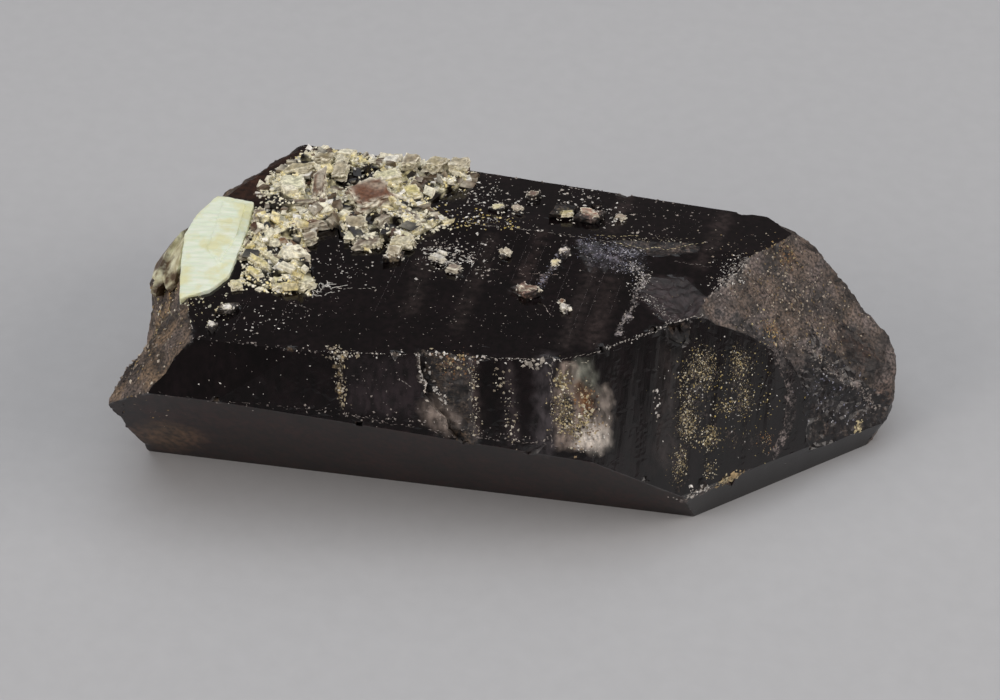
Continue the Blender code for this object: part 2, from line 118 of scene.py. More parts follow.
class Facet(Enum):
    """The flat faces of the crystal, each by the way it looks."""

    TOP = facing(0.0)
    TOP_BACK = facing(-8.0)
    FRONT = facing(PRISM_STEP)
    FRONT_SPLIT = facing(69.0, 6.4)
    UNDERCUT = facing(2 * PRISM_STEP)
    BACK = facing(-PRISM_STEP, 4.6)
    BACK_UNDER = facing(-2 * PRISM_STEP, 1.0)
    TIP = facing(PRISM_STEP, RHOMB_LEAN)
    TIP_UNDER = facing(112.0, RHOMB_LEAN)
    TIP_BACK = facing(-PRISM_STEP, RHOMB_LEAN)
    TIP_BACK_UNDER = facing(-2 * PRISM_STEP, RHOMB_LEAN)
    BOTTOM = facing(180.0)


def add_node(
    tree: bpy.types.NodeTree,
    kind: str,
    inputs: dict[str | int, object] | None = None,
    **settings: object,
) -> bpy.types.Node:
    """Adds one shader node with its settings and links.

    Args:
        tree: The node tree it goes into.
        kind: Blender's name for the node type.
        inputs: Socket name or place, and the value or the socket that feeds it.
        **settings: Attributes set on the node itself.

    Returns:
        The new node.
    """
    node = tree.nodes.new(kind)
    for name, value in settings.items():
        setattr(node, name, value)
    for key, value in (inputs or {}).items():
        if isinstance(value, bpy.types.NodeSocket):
            tree.links.new(value, node.inputs[key])
        else:
            node.inputs[key].default_value = value
    return node


def ramp(
    tree: bpy.types.NodeTree,
    fac: bpy.types.NodeSocket,
    low: float,
    high: float,
    bottom: float = 0.0,
    top: float = 1.0,
) -> bpy.types.NodeSocket:
    """Maps a value onto another range, clamped at both ends.

    Args:
        tree: The node tree it goes into.
        fac: The value.
        low: The value that gives bottom.
        high: The value that gives top.
        bottom: The result at and below low.
        top: The result at and above high.

    Returns:
        The mapped value's socket.
    """
    inputs = {0: fac, 1: low, 2: high, 3: bottom, 4: top}
    return add_node(tree, "ShaderNodeMapRange", inputs, clamp=True).outputs[0]


def blend(
    tree: bpy.types.NodeTree,
    fac: bpy.types.NodeSocket | float,
    first: object,
    second: object,
) -> bpy.types.NodeSocket:
    """Mixes two colours.

    Args:
        tree: The node tree it goes into.
        fac: The share of the second colour.
        first: A colour or a colour socket.
        second: A colour or a colour socket.

    Returns:
        The mixed colour's socket.
    """
    inputs = {0: fac, 6: first, 7: second}
    return add_node(tree, "ShaderNodeMix", inputs, data_type="RGBA").outputs[2]


def calculated(tree: bpy.types.NodeTree, operation: str, *values: object) -> bpy.types.NodeSocket:
    """Adds a Math node.

    Args:
        tree: The node tree it goes into.
        operation: Blender's name for the sum.
        *values: Numbers or sockets, in order.

    Returns:
        The result's socket.
    """
    inputs = dict(enumerate(values))
    return add_node(tree, "ShaderNodeMath", inputs, operation=operation).outputs[0]


def scaled(
    tree: bpy.types.NodeTree, colour: bpy.types.NodeSocket, factor: bpy.types.NodeSocket
) -> bpy.types.NodeSocket:
    """Makes a colour lighter or darker.

    Args:
        tree: The node tree it goes into.
        colour: The colour.
        factor: What its three parts are multiplied by.

    Returns:
        The changed colour's socket.
    """
    inputs = {0: colour, 3: factor}
    node = add_node(tree, "ShaderNodeVectorMath", inputs, operation="SCALE")
    return node.outputs[0]


def painted(tree: bpy.types.NodeTree, name: str, output: str = "Fac") -> bpy.types.NodeSocket:
    """Reads a value that was written on the mesh's points.

    Args:
        tree: The node tree it goes into.
        name: The name it was written under.
        output: Fac for a number, Color for a colour.

    Returns:
        The value's socket.
    """
    return add_node(tree, "ShaderNodeAttribute", attribute_name=name).outputs[output]


def new_finish(name: str, ior: float) -> tuple[bpy.types.Material, bpy.types.ShaderNode]:
    """Starts a material.

    Args:
        name: The material's name.
        ior: How strongly the real stuff bends light.

    Returns:
        The material and its shader.
    """
    material = bpy.data.materials.new(name)
    material.use_nodes = True
    shader = material.node_tree.nodes["Principled BSDF"]
    shader.inputs["IOR"].default_value = ior
    return material, shader


def roughen(
    shader: bpy.types.ShaderNode, height: bpy.types.NodeSocket, strength: float, depth: float
) -> None:
    """Adds relief that is too fine for the mesh.

    Args:
        shader: The shader that shows it.
        height: The relief.
        strength: How strongly it shows.
        depth: How deep it is, in millimetres.
    """
    inputs = {"Strength": strength, "Distance": depth * MM, "Height": height}
    bump = add_node(shader.id_data, "ShaderNodeBump", inputs)
    shader.id_data.links.new(bump.outputs[0], shader.inputs["Normal"])


def grain_field(
    tree: bpy.types.NodeTree,
    size_mm: float,
    stretch: Point = (1.0, 1.0, 1.0),
    detail: float = 4.0,
) -> bpy.types.NodeSocket:
    """Draws soft noise fixed to the piece.

    Args:
        tree: The node tree it goes into.
        size_mm: How wide one lump of the noise is.
        stretch: How many times finer it is along each axis.
        detail: How many finer layers it has.

    Returns:
        The noise value's socket.
    """
    place = add_node(tree, "ShaderNodeTexCoord").outputs["Object"]
    drawn = add_node(tree, "ShaderNodeMapping", {0: place, 3: stretch}).outputs[0]
    inputs = {"Vector": drawn, "Scale": per_metre(size_mm), "Detail": detail}
    return add_node(tree, "ShaderNodeTexNoise", inputs).outputs["Fac"]


@dataclass(frozen=True)
class MorionFinish:
    """Black smoky quartz: nearly opaque, glassy on its grown faces, dull grey-brown where broken."""

    clean_roughness: float = 0.12
    dull_roughness: float = 0.62
    ior: float = 1.544
    grey_break: str = "#4F4847"

    def build(self) -> bpy.types.Material:
        """Builds the material from the colour and cover painted on the mesh.

        Returns:
            The material, with one shader for glassy, dusted and broken stone.
        """
        material, shader = new_finish("morion_smoky_quartz", self.ior)
        tree = material.node_tree
        # Within and tint hold painted light and shade besides real stains: glow through thin stone, a darkened
        # pit and a highlight on the tip.
        within, tint = painted(tree, "within", "Color"), painted(tree, "tint", "Color")
        cover, dull = painted(tree, "cover"), painted(tree, "dull")
        # Smoke in the stone comes in faint clouds about half a centimetre wide.
        clouds = ramp(tree, grain_field(tree, 6.0), 0.35, 0.68, 0.6, 1.5)
        wisps = ramp(tree, grain_field(tree, 1.2, (1.3, 1.3, 0.5), 8.0), 0.36, 0.64, 0.42, 1.5)
        stone = scaled(tree, scaled(tree, within, clouds), wisps)
        # Dust, damage, a painted highlight and a painted glow on the tip cover the stone in crumbs, so the
        # painted cover is cut by two sizes of noise.
        crumbs = grain_field(tree, 0.9, detail=6.0)
        fine = grain_field(tree, 0.28, detail=2.0)
        crumb_mix = calculated(tree, "MULTIPLY_ADD", crumbs, 1.5, fine)
        level = calculated(tree, "MULTIPLY_ADD", cover, 1.45, crumb_mix)
        mask = ramp(tree, level, 1.75, 2.25)
        # Broken stone lets light in unevenly: brown and grey patches, peppered with fine grit.
        patches = ramp(tree, grain_field(tree, 3.4, detail=8.0), 0.39, 0.61, 0.34, 1.5)
        grit = ramp(tree, grain_field(tree, 0.4, detail=4.0), 0.38, 0.64, 0.28, 1.8)
        grey = ramp(tree, grain_field(tree, 5.0, detail=5.0), 0.42, 0.6, 0.0, 0.6)
        earth = blend(tree, grey, tint, linear(self.grey_break))
        shaded = scaled(tree, scaled(tree, earth, patches), grit)
        tree.links.new(blend(tree, mask, stone, shaded), shader.inputs["Base Color"])
        rough = calculated(tree, "MAXIMUM", mask, dull)
        roughness = ramp(tree, rough, 0.0, 1.0, self.clean_roughness, self.dull_roughness)
        tree.links.new(roughness, shader.inputs["Roughness"])
        # Growth lines run across the prism, so the noise is long in Y and short in X.
        growth = grain_field(tree, 2.2, (5.0, 0.22, 0.6), 5.0)
        relief = calculated(tree, "MULTIPLY_ADD", rough, fine, growth)
        roughen(shader, relief, strength=0.1, depth=0.1)
        return material


@dataclass(frozen=True)
class GrainFinish:
    """Small grains of feldspar, clay-dusted quartz and rust: matt where pale, waxy where brown."""

    roughness_pale: float = 0.72
    roughness_clear: float = 0.28
    ior: float = 1.53

    def build(self) -> bpy.types.Material:
        """Builds the material from each grain's own colour.

        Returns:
            The material shared by the crust, the lone grains and the flecks.
        """
        material, shader = new_finish("crust_feldspar_grains", self.ior)
        tree = material.node_tree
        tint, clear = painted(tree, "tint", "Color"), painted(tree, "clear")
        # Powder gathers on the grains in specks of about half a millimetre.
        powder = grain_field(tree, 0.55, detail=5.0)
        shade = ramp(tree, powder, 0.34, 0.66, 0.6, 1.3)
        tree.links.new(scaled(tree, tint, shade), shader.inputs["Base Color"])
        roughness = ramp(tree, clear, 0.0, 1.0, self.roughness_pale, self.roughness_clear)
        tree.links.new(roughness, shader.inputs["Roughness"])
        roughen(shader, powder, strength=0.35, depth=0.15)
        return material


@dataclass(frozen=True)
class FeldsparFinish:
    """Cleaved feldspar: pale, waxy, with the fine parallel fibres that cleavage leaves."""

    name: str
    pale: str
    deep: str
    stain: str
    stain_share: float
    fibre_stretch: Point
    roughness: float = 0.42
    ior: float = 1.525

    def build(self) -> bpy.types.Material:
        """Builds the material.

        Returns:
            A waxy material with fibres along the cleavage and stains in patches.
        """
        material, shader = new_finish(self.name, self.ior)
        tree = material.node_tree
        shader.inputs["Subsurface Weight"].default_value = 0.12
        shader.inputs["Subsurface Radius"].default_value = (0.9, 0.8, 0.6)
        shader.inputs["Subsurface Scale"].default_value = 0.0006
        fibres = grain_field(tree, 1.6, self.fibre_stretch, 6.0)
        body = blend(tree, ramp(tree, fibres, 0.36, 0.66), linear(self.deep), linear(self.pale))
        patches = grain_field(tree, 4.0, detail=4.0)
        low = 0.74 - self.stain_share
        stained = blend(tree, ramp(tree, patches, low, low + 0.12), body, linear(self.stain))
        tree.links.new(stained, shader.inputs["Base Color"])
        roughness = ramp(tree, fibres, 0.3, 0.7, self.roughness + 0.14, self.roughness)
        tree.links.new(roughness, shader.inputs["Roughness"])
        roughen(shader, fibres, strength=0.22, depth=0.15)
        return material


@dataclass(frozen=True)
class SheetFinish:
    """A matt card sheet, pale blue-grey, with the faint tooth of its rolled surface."""

    colour: str = "#C1C3C5"
    shade: str = "#BEC0C2"
    ior: float = 1.5

    def build(self) -> bpy.types.Material:
        """Builds the material.

        Returns:
            A matt material with very low contrast.
        """
        material, shader = new_finish("card_sheet", self.ior)
        tree = material.node_tree
        shader.inputs["Roughness"].default_value = 0.9
        shader.inputs["Specular IOR Level"].default_value = 0.25
        tooth = grain_field(tree, 3.0, detail=3.0)
        card = blend(tree, ramp(tree, tooth, 0.3, 0.7), linear(self.shade), linear(self.colour))
        tree.links.new(card, shader.inputs["Base Color"])
        return material


def copied(node: str, name: str) -> bpy.types.Object:
    """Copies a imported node's mesh into a piece of its own.

    Args:
        node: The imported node.
        name: The new piece's name.

    Returns:
        The new piece, linked to the scene, with its corners joined.
    """
    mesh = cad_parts[node].data.copy()
    mesh.name = name
    piece = bpy.data.objects.new(name, mesh)
    bpy.context.scene.collection.objects.link(piece)
    solid = bmesh.new()
    solid.from_mesh(mesh)
    bmesh.ops.remove_doubles(solid, verts=solid.verts, dist=2e-6)
    solid.to_mesh(mesh)
    solid.free()
    for layer in list(mesh.color_attributes):
        mesh.color_attributes.remove(layer)
    for layer in list(mesh.uv_layers):
        mesh.uv_layers.remove(layer)
    return piece


def refine(piece: bpy.types.Object, grid_mm: float, longest_mm: float) -> None:
    """Cuts a piece's faces along a grid, then halves long edges, without moving its surface.

    Args:
        piece: The piece.
        grid_mm: The spacing of the grid.
        longest_mm: The longest edge that is left.
    """
    solid = bmesh.new()
    solid.from_mesh(piece.data)
    lo, hi = lowest_and_highest(solid)
    for axis in range(3):
        normal = Vector((0.0, 0.0, 0.0))
        normal[axis] = 1.0
        steps = int((hi[axis] - lo[axis]) / (grid_mm * MM))
        for step in range(1, steps + 1):
            # A small offset keeps the grid off the flat faces of the piece.
            at = Vector((0.0, 0.0, 0.0))
            at[axis] = lo[axis] + (step - 0.483) * grid_mm * MM
            bmesh.ops.bisect_plane(
                solid,
                geom=[*solid.verts, *solid.edges, *solid.faces],
                dist=1e-6,
                plane_co=at,
                plane_no=normal,
            )
    bmesh.ops.triangulate(solid, faces=solid.faces)
    for _ in range(6):
        long_edges = [e for e in solid.edges if e.calc_length() > longest_mm * MM]
        if not long_edges:
            break
        bmesh.ops.subdivide_edges(solid, edges=long_edges, cuts=1)
        many = [f for f in solid.faces if len(f.verts) > 3]
        bmesh.ops.triangulate(solid, faces=many)
    solid.to_mesh(piece.data)
    solid.free()


def lowest_and_highest(solid: bmesh.types.BMesh) -> tuple[Vector, Vector]:
    """Returns the lowest and highest corner of a bmesh."""
    places = np.array([v.co for v in solid.verts])
    return Vector(places.min(axis=0)), Vector(places.max(axis=0))


def read_points(mesh: bpy.types.Mesh) -> np.ndarray:
    """Returns a mesh's points in millimetres in the crystal's own frame, one row each."""
    flat = np.empty(len(mesh.vertices) * 3)
    mesh.vertices.foreach_get("co", flat)
    return flat.reshape(-1, 3) / MM + np.array(OUTLINE_MIDDLE)


def write_points(mesh: bpy.types.Mesh, points: np.ndarray) -> None:
    """Writes points back to a mesh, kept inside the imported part's box.

    Args:
        mesh: The mesh.
        points: Its points in millimetres in the crystal's own frame.
    """
    metres = (points - np.array(OUTLINE_MIDDLE)) * MM
    metres = np.clip(metres, np.array(CAD_BOX[0]), np.array(CAD_BOX[1]))
    mesh.vertices.foreach_set("co", metres.ravel())
    mesh.update()


def write_values(mesh: bpy.types.Mesh, name: str, values: np.ndarray) -> None:
    """Writes a number or a colour on each point of a mesh, for its finish to read.

    Args:
        mesh: The mesh.
        name: The name that the finish reads it by.
        values: One number, or four parts of a linear colour, for each point.
    """
    colour = np.ndim(values) > 1
    layer = mesh.attributes.new(name, "FLOAT_COLOR" if colour else "FLOAT", "POINT")
    flat = np.asarray(values, np.float32).ravel()
    layer.data.foreach_set("color" if colour else "value", flat)


def read_normals(mesh: bpy.types.Mesh) -> np.ndarray:
    """Returns a mesh's point normals, one row each."""
    flat = np.empty(len(mesh.vertices) * 3)
    mesh.vertex_normals.foreach_get("vector", flat)
    return flat.reshape(-1, 3)


def highest(ground: list[BVHTree], x: float, y: float) -> tuple[Vector, Vector] | None:
    """Drops a line on some surfaces from above.

    Args:
        ground: The surfaces.
        x: Where along the crystal, in millimetres.
        y: Where across it.

    Returns:
        The highest point that it meets, in metres, and the way the surface looks there.
    """
    above, down = placed((x, y, ABOVE_ALL)), Vector((0, 0, -1))
    hits = [surface.ray_cast(above, down) for surface in ground]
    hits = [hit for hit in hits if hit[0] is not None]
    return max(hits, key=lambda hit: hit[0].z)[:2] if hits else None


def distance_to_path(points: np.ndarray, path: np.ndarray) -> np.ndarray:
    """Measures how far points lie from a line of straight pieces.

    Args:
        points: The points, one row each.
        path: The corners of the line; a single corner is a spot.

    Returns:
        One distance for each point.
    """
    nearest = np.linalg.norm(points - path[0], axis=1)
    for start, end in zip(path[:-1], path[1:]):
        along = end - start
        share = np.clip((points - start) @ along / (along @ along), 0.0, 1.0)
        gap = np.linalg.norm(points - start - share[:, None] * along, axis=1)
        nearest = np.minimum(nearest, gap)
    return nearest


def inside_outline(points: np.ndarray, outline: np.ndarray) -> np.ndarray:
    """Tells which flat points lie inside an outline.

    Args:
        points: Two coordinates in each row.
        outline: The outline's corners in order.

    Returns:
        True or False for each point.
    """
    within = np.zeros(len(points), dtype=bool)
    for (ax, ay), (bx, by) in zip(outline, np.roll(outline, -1, axis=0)):
        if ay == by:
            continue
        crosses = (ay > points[:, 1]) != (by > points[:, 1])
        at = ax + (points[:, 1] - ay) / (by - ay) * (bx - ax)
        within ^= crosses & (points[:, 0] < at)
    return within


@dataclass(frozen=True)
class StainOrPaintedLight:
    """A spot, line or patch of another colour on the stone: most are real stains, a few are painted light and
    shade.

    A line fades out over its width, and a patch has the path as its outline on one facet. An inside mark
    colours the quartz under its glassy face; the others lie on the face as dust, damage or painted light.
    """

    colour: str
    strength: float
    width: float
    path: tuple[Point, ...]
    facet: Facet | None = None
    patch: bool = False
    dull: float = 0.0
    inside: bool = False

    def weight(self, points: np.ndarray, normals: np.ndarray) -> np.ndarray:
        """Works out how strongly the mark lies on each point.

        Args:
            points: The stone's points.
            normals: The way the stone faces at each point.

        Returns:
            Zero to one for each point.
        """
        path = np.array(self.path)
        gap = distance_to_path(points, np.vstack([path, path[:1]]) if self.patch else path)
        if self.patch:
            look = np.array(self.facet.value)
            kept = [i for i in range(3) if i != int(np.argmax(np.abs(look)))]
            # A patch is told apart in the flat view where its facet looks biggest.
            within = inside_outline(points[:, kept], path[:, kept])
            reach = 0.5 + np.where(within, gap, -gap) / self.width
        else:
            reach = 1.4 * (1.0 - gap / self.width)
        weight = np.clip(reach, 0.0, 1.0)
        if self.facet is not None:
            agree = normals @ np.array(self.facet.value)
            weight = weight * np.clip((agree - 0.86) / 0.08, 0.0, 1.0)
        return weight


STONE = "#0C0708"
ROOT_BROKEN = "#5E4E3D"
TIP_BROKEN = "#52463D"
CREAM = "#DCCFA6"

# Real stains, with a few marks of painted light and shade among them.
STAINS_AND_PAINTED_LIGHT = (
    # The undercut face looks brown, for light comes through the stone's thin lower edge.
    StainOrPaintedLight(
        "#1F0B08", 1.0, 1.5,
        ((-60.0, -31.0, 24.5), (60.0, -31.0, 24.5), (60.0, -10.0, -1.0), (-60.0, -10.0, -1.0)),
        Facet.UNDERCUT, patch=True, dull=0.9, inside=True,
    ),
    # Painted light: the next spot is a warm brown glow where light comes through the thin lower left end.
    StainOrPaintedLight("#5C4632", 0.8, 6.0, ((-50.0, -19.0, 5.0), (-47.5, -21.0, 9.0)), inside=True),
    StainOrPaintedLight("#3A2419", 1.0, 7.0, ((-41.0, 12.0, 31.3), (-38.0, 19.0, 31.0)), inside=True),
    # Painted light: this amber spot is the glow of light through the thin end of the tip.
    StainOrPaintedLight("#75502F", 0.6, 2.2, ((53.6, 5.0, 8.0), (54.4, 6.0, 10.0)), dull=0.1),
    # Top face: faint growth bands across it.
    StainOrPaintedLight("#211B1A", 1.0, 1.8, ((-13.8, 4.5, 31.3), (-13.3, -13.3, 31.3)), inside=True),
    StainOrPaintedLight("#271F1E", 1.0, 1.3, ((1.9, 7.2, 31.3), (0.6, -6.8, 31.3)), inside=True),
    StainOrPaintedLight("#272120", 1.0, 1.6, ((10.4, 0.0, 31.3), (9.0, -17.0, 31.3)), inside=True),
    StainOrPaintedLight("#211B1A", 1.0, 1.6, ((-5.0, 5.0, 31.3), (-6.2, -16.0, 31.3)), inside=True),
    StainOrPaintedLight("#282120", 1.0, 2.2, ((13.4, -2.0, 31.3), (12.6, -16.0, 31.3)), inside=True),
    StainOrPaintedLight("#292221", 1.0, 1.6, ((12.5, 21.0, 30.0), (11.5, 10.0, 31.0)), inside=True),
    StainOrPaintedLight("#292221", 1.0, 1.6, ((27.5, 18.0, 30.0), (25.5, 4.0, 31.0)), inside=True),
    # Top face: a hazy dent, a bluish granular patch and the white band between them.
    StainOrPaintedLight(
        "#2D2526", 1.0, 1.6,
        (
            (17.9, -5.6, 31.3), (18.1, -0.3, 31.3), (23.4, 0.6, 31.3), (27.1, -4.4, 31.3),
            (27.4, -6.6, 31.3), (22.7, -9.9, 31.3),
        ),
        Facet.TOP, patch=True, dull=0.06, inside=True,
    ),
    StainOrPaintedLight(
        "#4C4A54", 0.4, 1.6,
        ((6.8, 7.0, 31.3), (17.2, 6.1, 31.3), (18.4, 0.4, 31.3), (13.0, -0.4, 31.3), (9.8, 0.4, 31.3)),
        Facet.TOP, patch=True, dull=0.3,
    ),
    StainOrPaintedLight("#57535C", 0.6, 1.4, ((7.6, 6.4, 31.3), (12.0, 3.4, 31.3), (16.4, 2.0, 31.3))),
    StainOrPaintedLight(
        "#8F8989", 0.46, 1.2,
        (
            (14.9, 2.9, 31.3), (17.6, 1.0, 31.3), (18.1, -0.9, 31.3), (17.0, -3.4, 31.3),
            (17.3, -6.1, 31.3), (16.0, -13.7, 31.3),
        ),
        Facet.TOP,
    ),
    StainOrPaintedLight("#6B6264", 0.6, 1.0, ((5.6, 5.0, 31.3), (3.4, -5.4, 31.3))),
    # Split front face: haze inside the stone, cracks, a bright step and a chalky patch with rust.
    StainOrPaintedLight(
        "#211B1D", 1.0, 1.6,
        (
            (-20.4, -24.0, 31.0), (-10.2, -22.7, 31.0), (-8.6, -24.6, 26.0), (-9.5, -26.0, 22.8),
            (-19.9, -27.2, 23.4),
        ),
        Facet.FRONT_SPLIT, patch=True, dull=0.1, inside=True,
    ),
    StainOrPaintedLight("#A8946A", 0.5, 1.0, ((-21.0, -24.2, 30.9), (-20.7, -27.0, 23.4))),
    StainOrPaintedLight(
        "#8A817A", 0.6, 1.2,
        ((-9.9, -22.5, 31.3), (-9.3, -23.9, 27.9), (-8.1, -24.8, 25.2), (-6.0, -24.9, 24.2)),
    ),
    StainOrPaintedLight("#6E645D", 1.0, 2.6, ((-7.8, -25.5, 23.8), (-6.0, -25.6, 22.4)), inside=True),
    StainOrPaintedLight("#8E847A", 0.42, 2.0, ((-8.0, -25.4, 24.0), (-6.0, -25.6, 22.4))),
    StainOrPaintedLight("#3A3231", 1.0, 1.1, ((-3.0, -22.0, 30.9), (-1.8, -25.8, 20.6)), inside=True),
    StainOrPaintedLight("#2F292A", 1.0, 1.3, ((2.0, -22.0, 30.4), (3.4, -25.4, 20.4)), inside=True),
    StainOrPaintedLight("#3B3739", 1.0, 2.2, ((7.2, -20.8, 31.3), (7.8, -25.2, 19.0)), inside=True),
    StainOrPaintedLight(
        "#80736A", 1.0, 1.1,
        (
            (9.0, -20.6, 31.3), (15.6, -19.3, 31.5), (17.6, -20.0, 28.8), (17.2, -23.6, 19.6),
            (9.2, -25.2, 19.0),
        ),
        Facet.FRONT_SPLIT, patch=True, dull=0.3, inside=True,
    ),
    StainOrPaintedLight("#7E8075", 1.0, 2.4, ((12.8, -20.8, 30.4), (13.4, -21.4, 27.6)), inside=True),
    StainOrPaintedLight("#B3A79C", 1.0, 2.6, ((16.2, -21.2, 26.4), (15.8, -22.8, 22.4)), inside=True),
    StainOrPaintedLight("#B9B1A7", 1.0, 2.6, ((13.4, -24.2, 21.0), (15.8, -23.8, 20.2)), inside=True),
    StainOrPaintedLight("#CFC8BE", 0.4, 2.6, ((13.2, -23.9, 21.6), (15.6, -23.6, 20.6))),
    StainOrPaintedLight("#A3968A", 0.34, 2.4, ((15.6, -21.6, 26.6), (16.2, -22.8, 22.8))),
    StainOrPaintedLight("#8F8F7F", 0.3, 2.4, ((12.4, -20.8, 30.4), (13.6, -21.4, 27.6))),
    StainOrPaintedLight("#7E5433", 1.0, 1.6, ((12.4, -21.8, 27.4), (13.4, -22.4, 25.0)), inside=True),
    StainOrPaintedLight(CREAM, 0.9, 1.2, ((14.4, -20.9, 27.8), (15.4, -20.8, 27.4))),
    StainOrPaintedLight("#9C9448", 0.42, 1.3, ((9.6, -21.3, 29.4), (9.2, -21.8, 26.4))),
    StainOrPaintedLight("#1A1413", 0.66, 2.4, ((10.2, -22.8, 25.6), (10.9, -23.8, 22.2))),
    StainOrPaintedLight("#1A1413", 0.52, 1.6, ((13.4, -22.8, 24.4), (11.6, -24.2, 20.8))),
    # Tip face: faint haze, dusty clusters and its frosted border; a painted highlight on the smooth flake and
    # painted shade in a pit.
    StainOrPaintedLight("#272221", 1.0, 3.0, ((23.4, -12.0, 27.0), (24.0, -18.0, 14.0)), inside=True),
    StainOrPaintedLight("#463C38", 0.42, 4.0, ((27.4, -9.8, 23.4), (26.8, -14.2, 16.8))),
    StainOrPaintedLight("#463C38", 0.36, 3.6, ((32.8, -6.4, 22.0), (33.4, -8.6, 16.6))),
    StainOrPaintedLight("#4A3F38", 0.34, 3.4, ((29.6, -13.2, 14.0), (36.4, -9.0, 10.8))),
    StainOrPaintedLight("#473C34", 0.4, 2.6, ((26.2, -16.6, 13.6), (26.1, -18.7, 10.2))),
    StainOrPaintedLight(
        "#6E6562", 0.5, 1.6,
        (
            (28.6, -4.9, 31.0), (34.2, -2.3, 25.9), (37.6, -1.6, 21.6), (39.4, -2.5, 17.2),
            (40.2, -3.5, 14.6), (40.2, -5.7, 10.8), (38.6, -8.9, 7.8),
        ),
    ),
    StainOrPaintedLight(
        "#7C726D", 0.6, 1.6, ((41.6, 1.4, 20.6), (44.6, 2.6, 17.6), (48.1, 3.2, 13.6), (53.0, 4.4, 7.4)),
    ),
    # Painted highlight: a bluish-grey sheen on the smooth flake of the broken tip.
    StainOrPaintedLight("#55575C", 0.5, 3.2, ((42.6, -1.4, 16.0), (48.8, 0.8, 10.0))),
    StainOrPaintedLight(CREAM, 0.85, 1.2, ((50.8, 1.6, 6.5), (50.4, 1.2, 5.6))),
    StainOrPaintedLight("#C3B48C", 0.9, 1.5, ((31.8, -15.4, 6.8), (34.6, -13.4, 7.0))),
    StainOrPaintedLight("#5E5450", 0.7, 1.1, ((26.6, -18.4, 6.0), (36.0, -12.6, 6.6))),
    # Painted shade: the pit near the top of the tip face is darkened to near black.
    StainOrPaintedLight("#050303", 1.0, 2.0, ((22.4, -10.6, 30.4), (24.2, -10.4, 28.4)), inside=True),
    StainOrPaintedLight("#A39C94", 0.45, 1.7, ((28.0, -0.6, 32.0), (30.4, 3.0, 32.0), (31.5, 6.0, 32.0))),
    StainOrPaintedLight("#7A5C3C", 0.35, 1.5, ((36.4, 10.3, 30.4), (38.0, 10.8, 29.2))),
    StainOrPaintedLight("#84663F", 0.35, 1.5, ((36.0, -1.0, 25.2), (37.4, -0.4, 24.0))),
    StainOrPaintedLight("#A98B52", 0.6, 1.2, ((47.3, 9.3, 19.5),)),
    StainOrPaintedLight("#2A1C15", 0.8, 3.0, ((46.5, 8.0, 17.0), (50.0, 8.0, 14.0))),
    StainOrPaintedLight("#2F221C", 0.7, 2.2, ((44.0, 12.0, 26.0), (48.0, 12.0, 22.0))),
    # Back faces: growth bands and a hazy patch of the same kind as in front.
    StainOrPaintedLight("#271F1E", 1.0, 3.0, ((-8.0, 24.0, 28.0), (-8.5, 30.0, 16.0)), inside=True),
    StainOrPaintedLight("#2A2423", 1.0, 4.0, ((20.0, 22.0, 27.0), (21.0, 27.0, 17.0)), inside=True),
    StainOrPaintedLight("#5E554F", 0.5, 2.6, ((8.6, 25.6, 25.0), (10.6, 27.6, 19.0))),
    # Root end: ochre in its hollows, darker towards the bottom.
    StainOrPaintedLight("#9A7E52", 0.6, 2.4, ((-50.5, -16.0, 24.0), (-52.0, -12.0, 20.0))),
    StainOrPaintedLight("#3A2F2B", 0.7, 3.6, ((-54.0, -22.0, 22.0), (-54.6, -10.0, 12.0))),
)

# The outline of the smooth flake at the tip, as it looks straight from the front.
SMOOTH_BREAK = ((41.6, 21.5), (54.6, 7.0), (54.6, 2.0), (40.0, 4.0), (41.0, 12.0))
SMOOTH_BREAK_BACK = 12.0


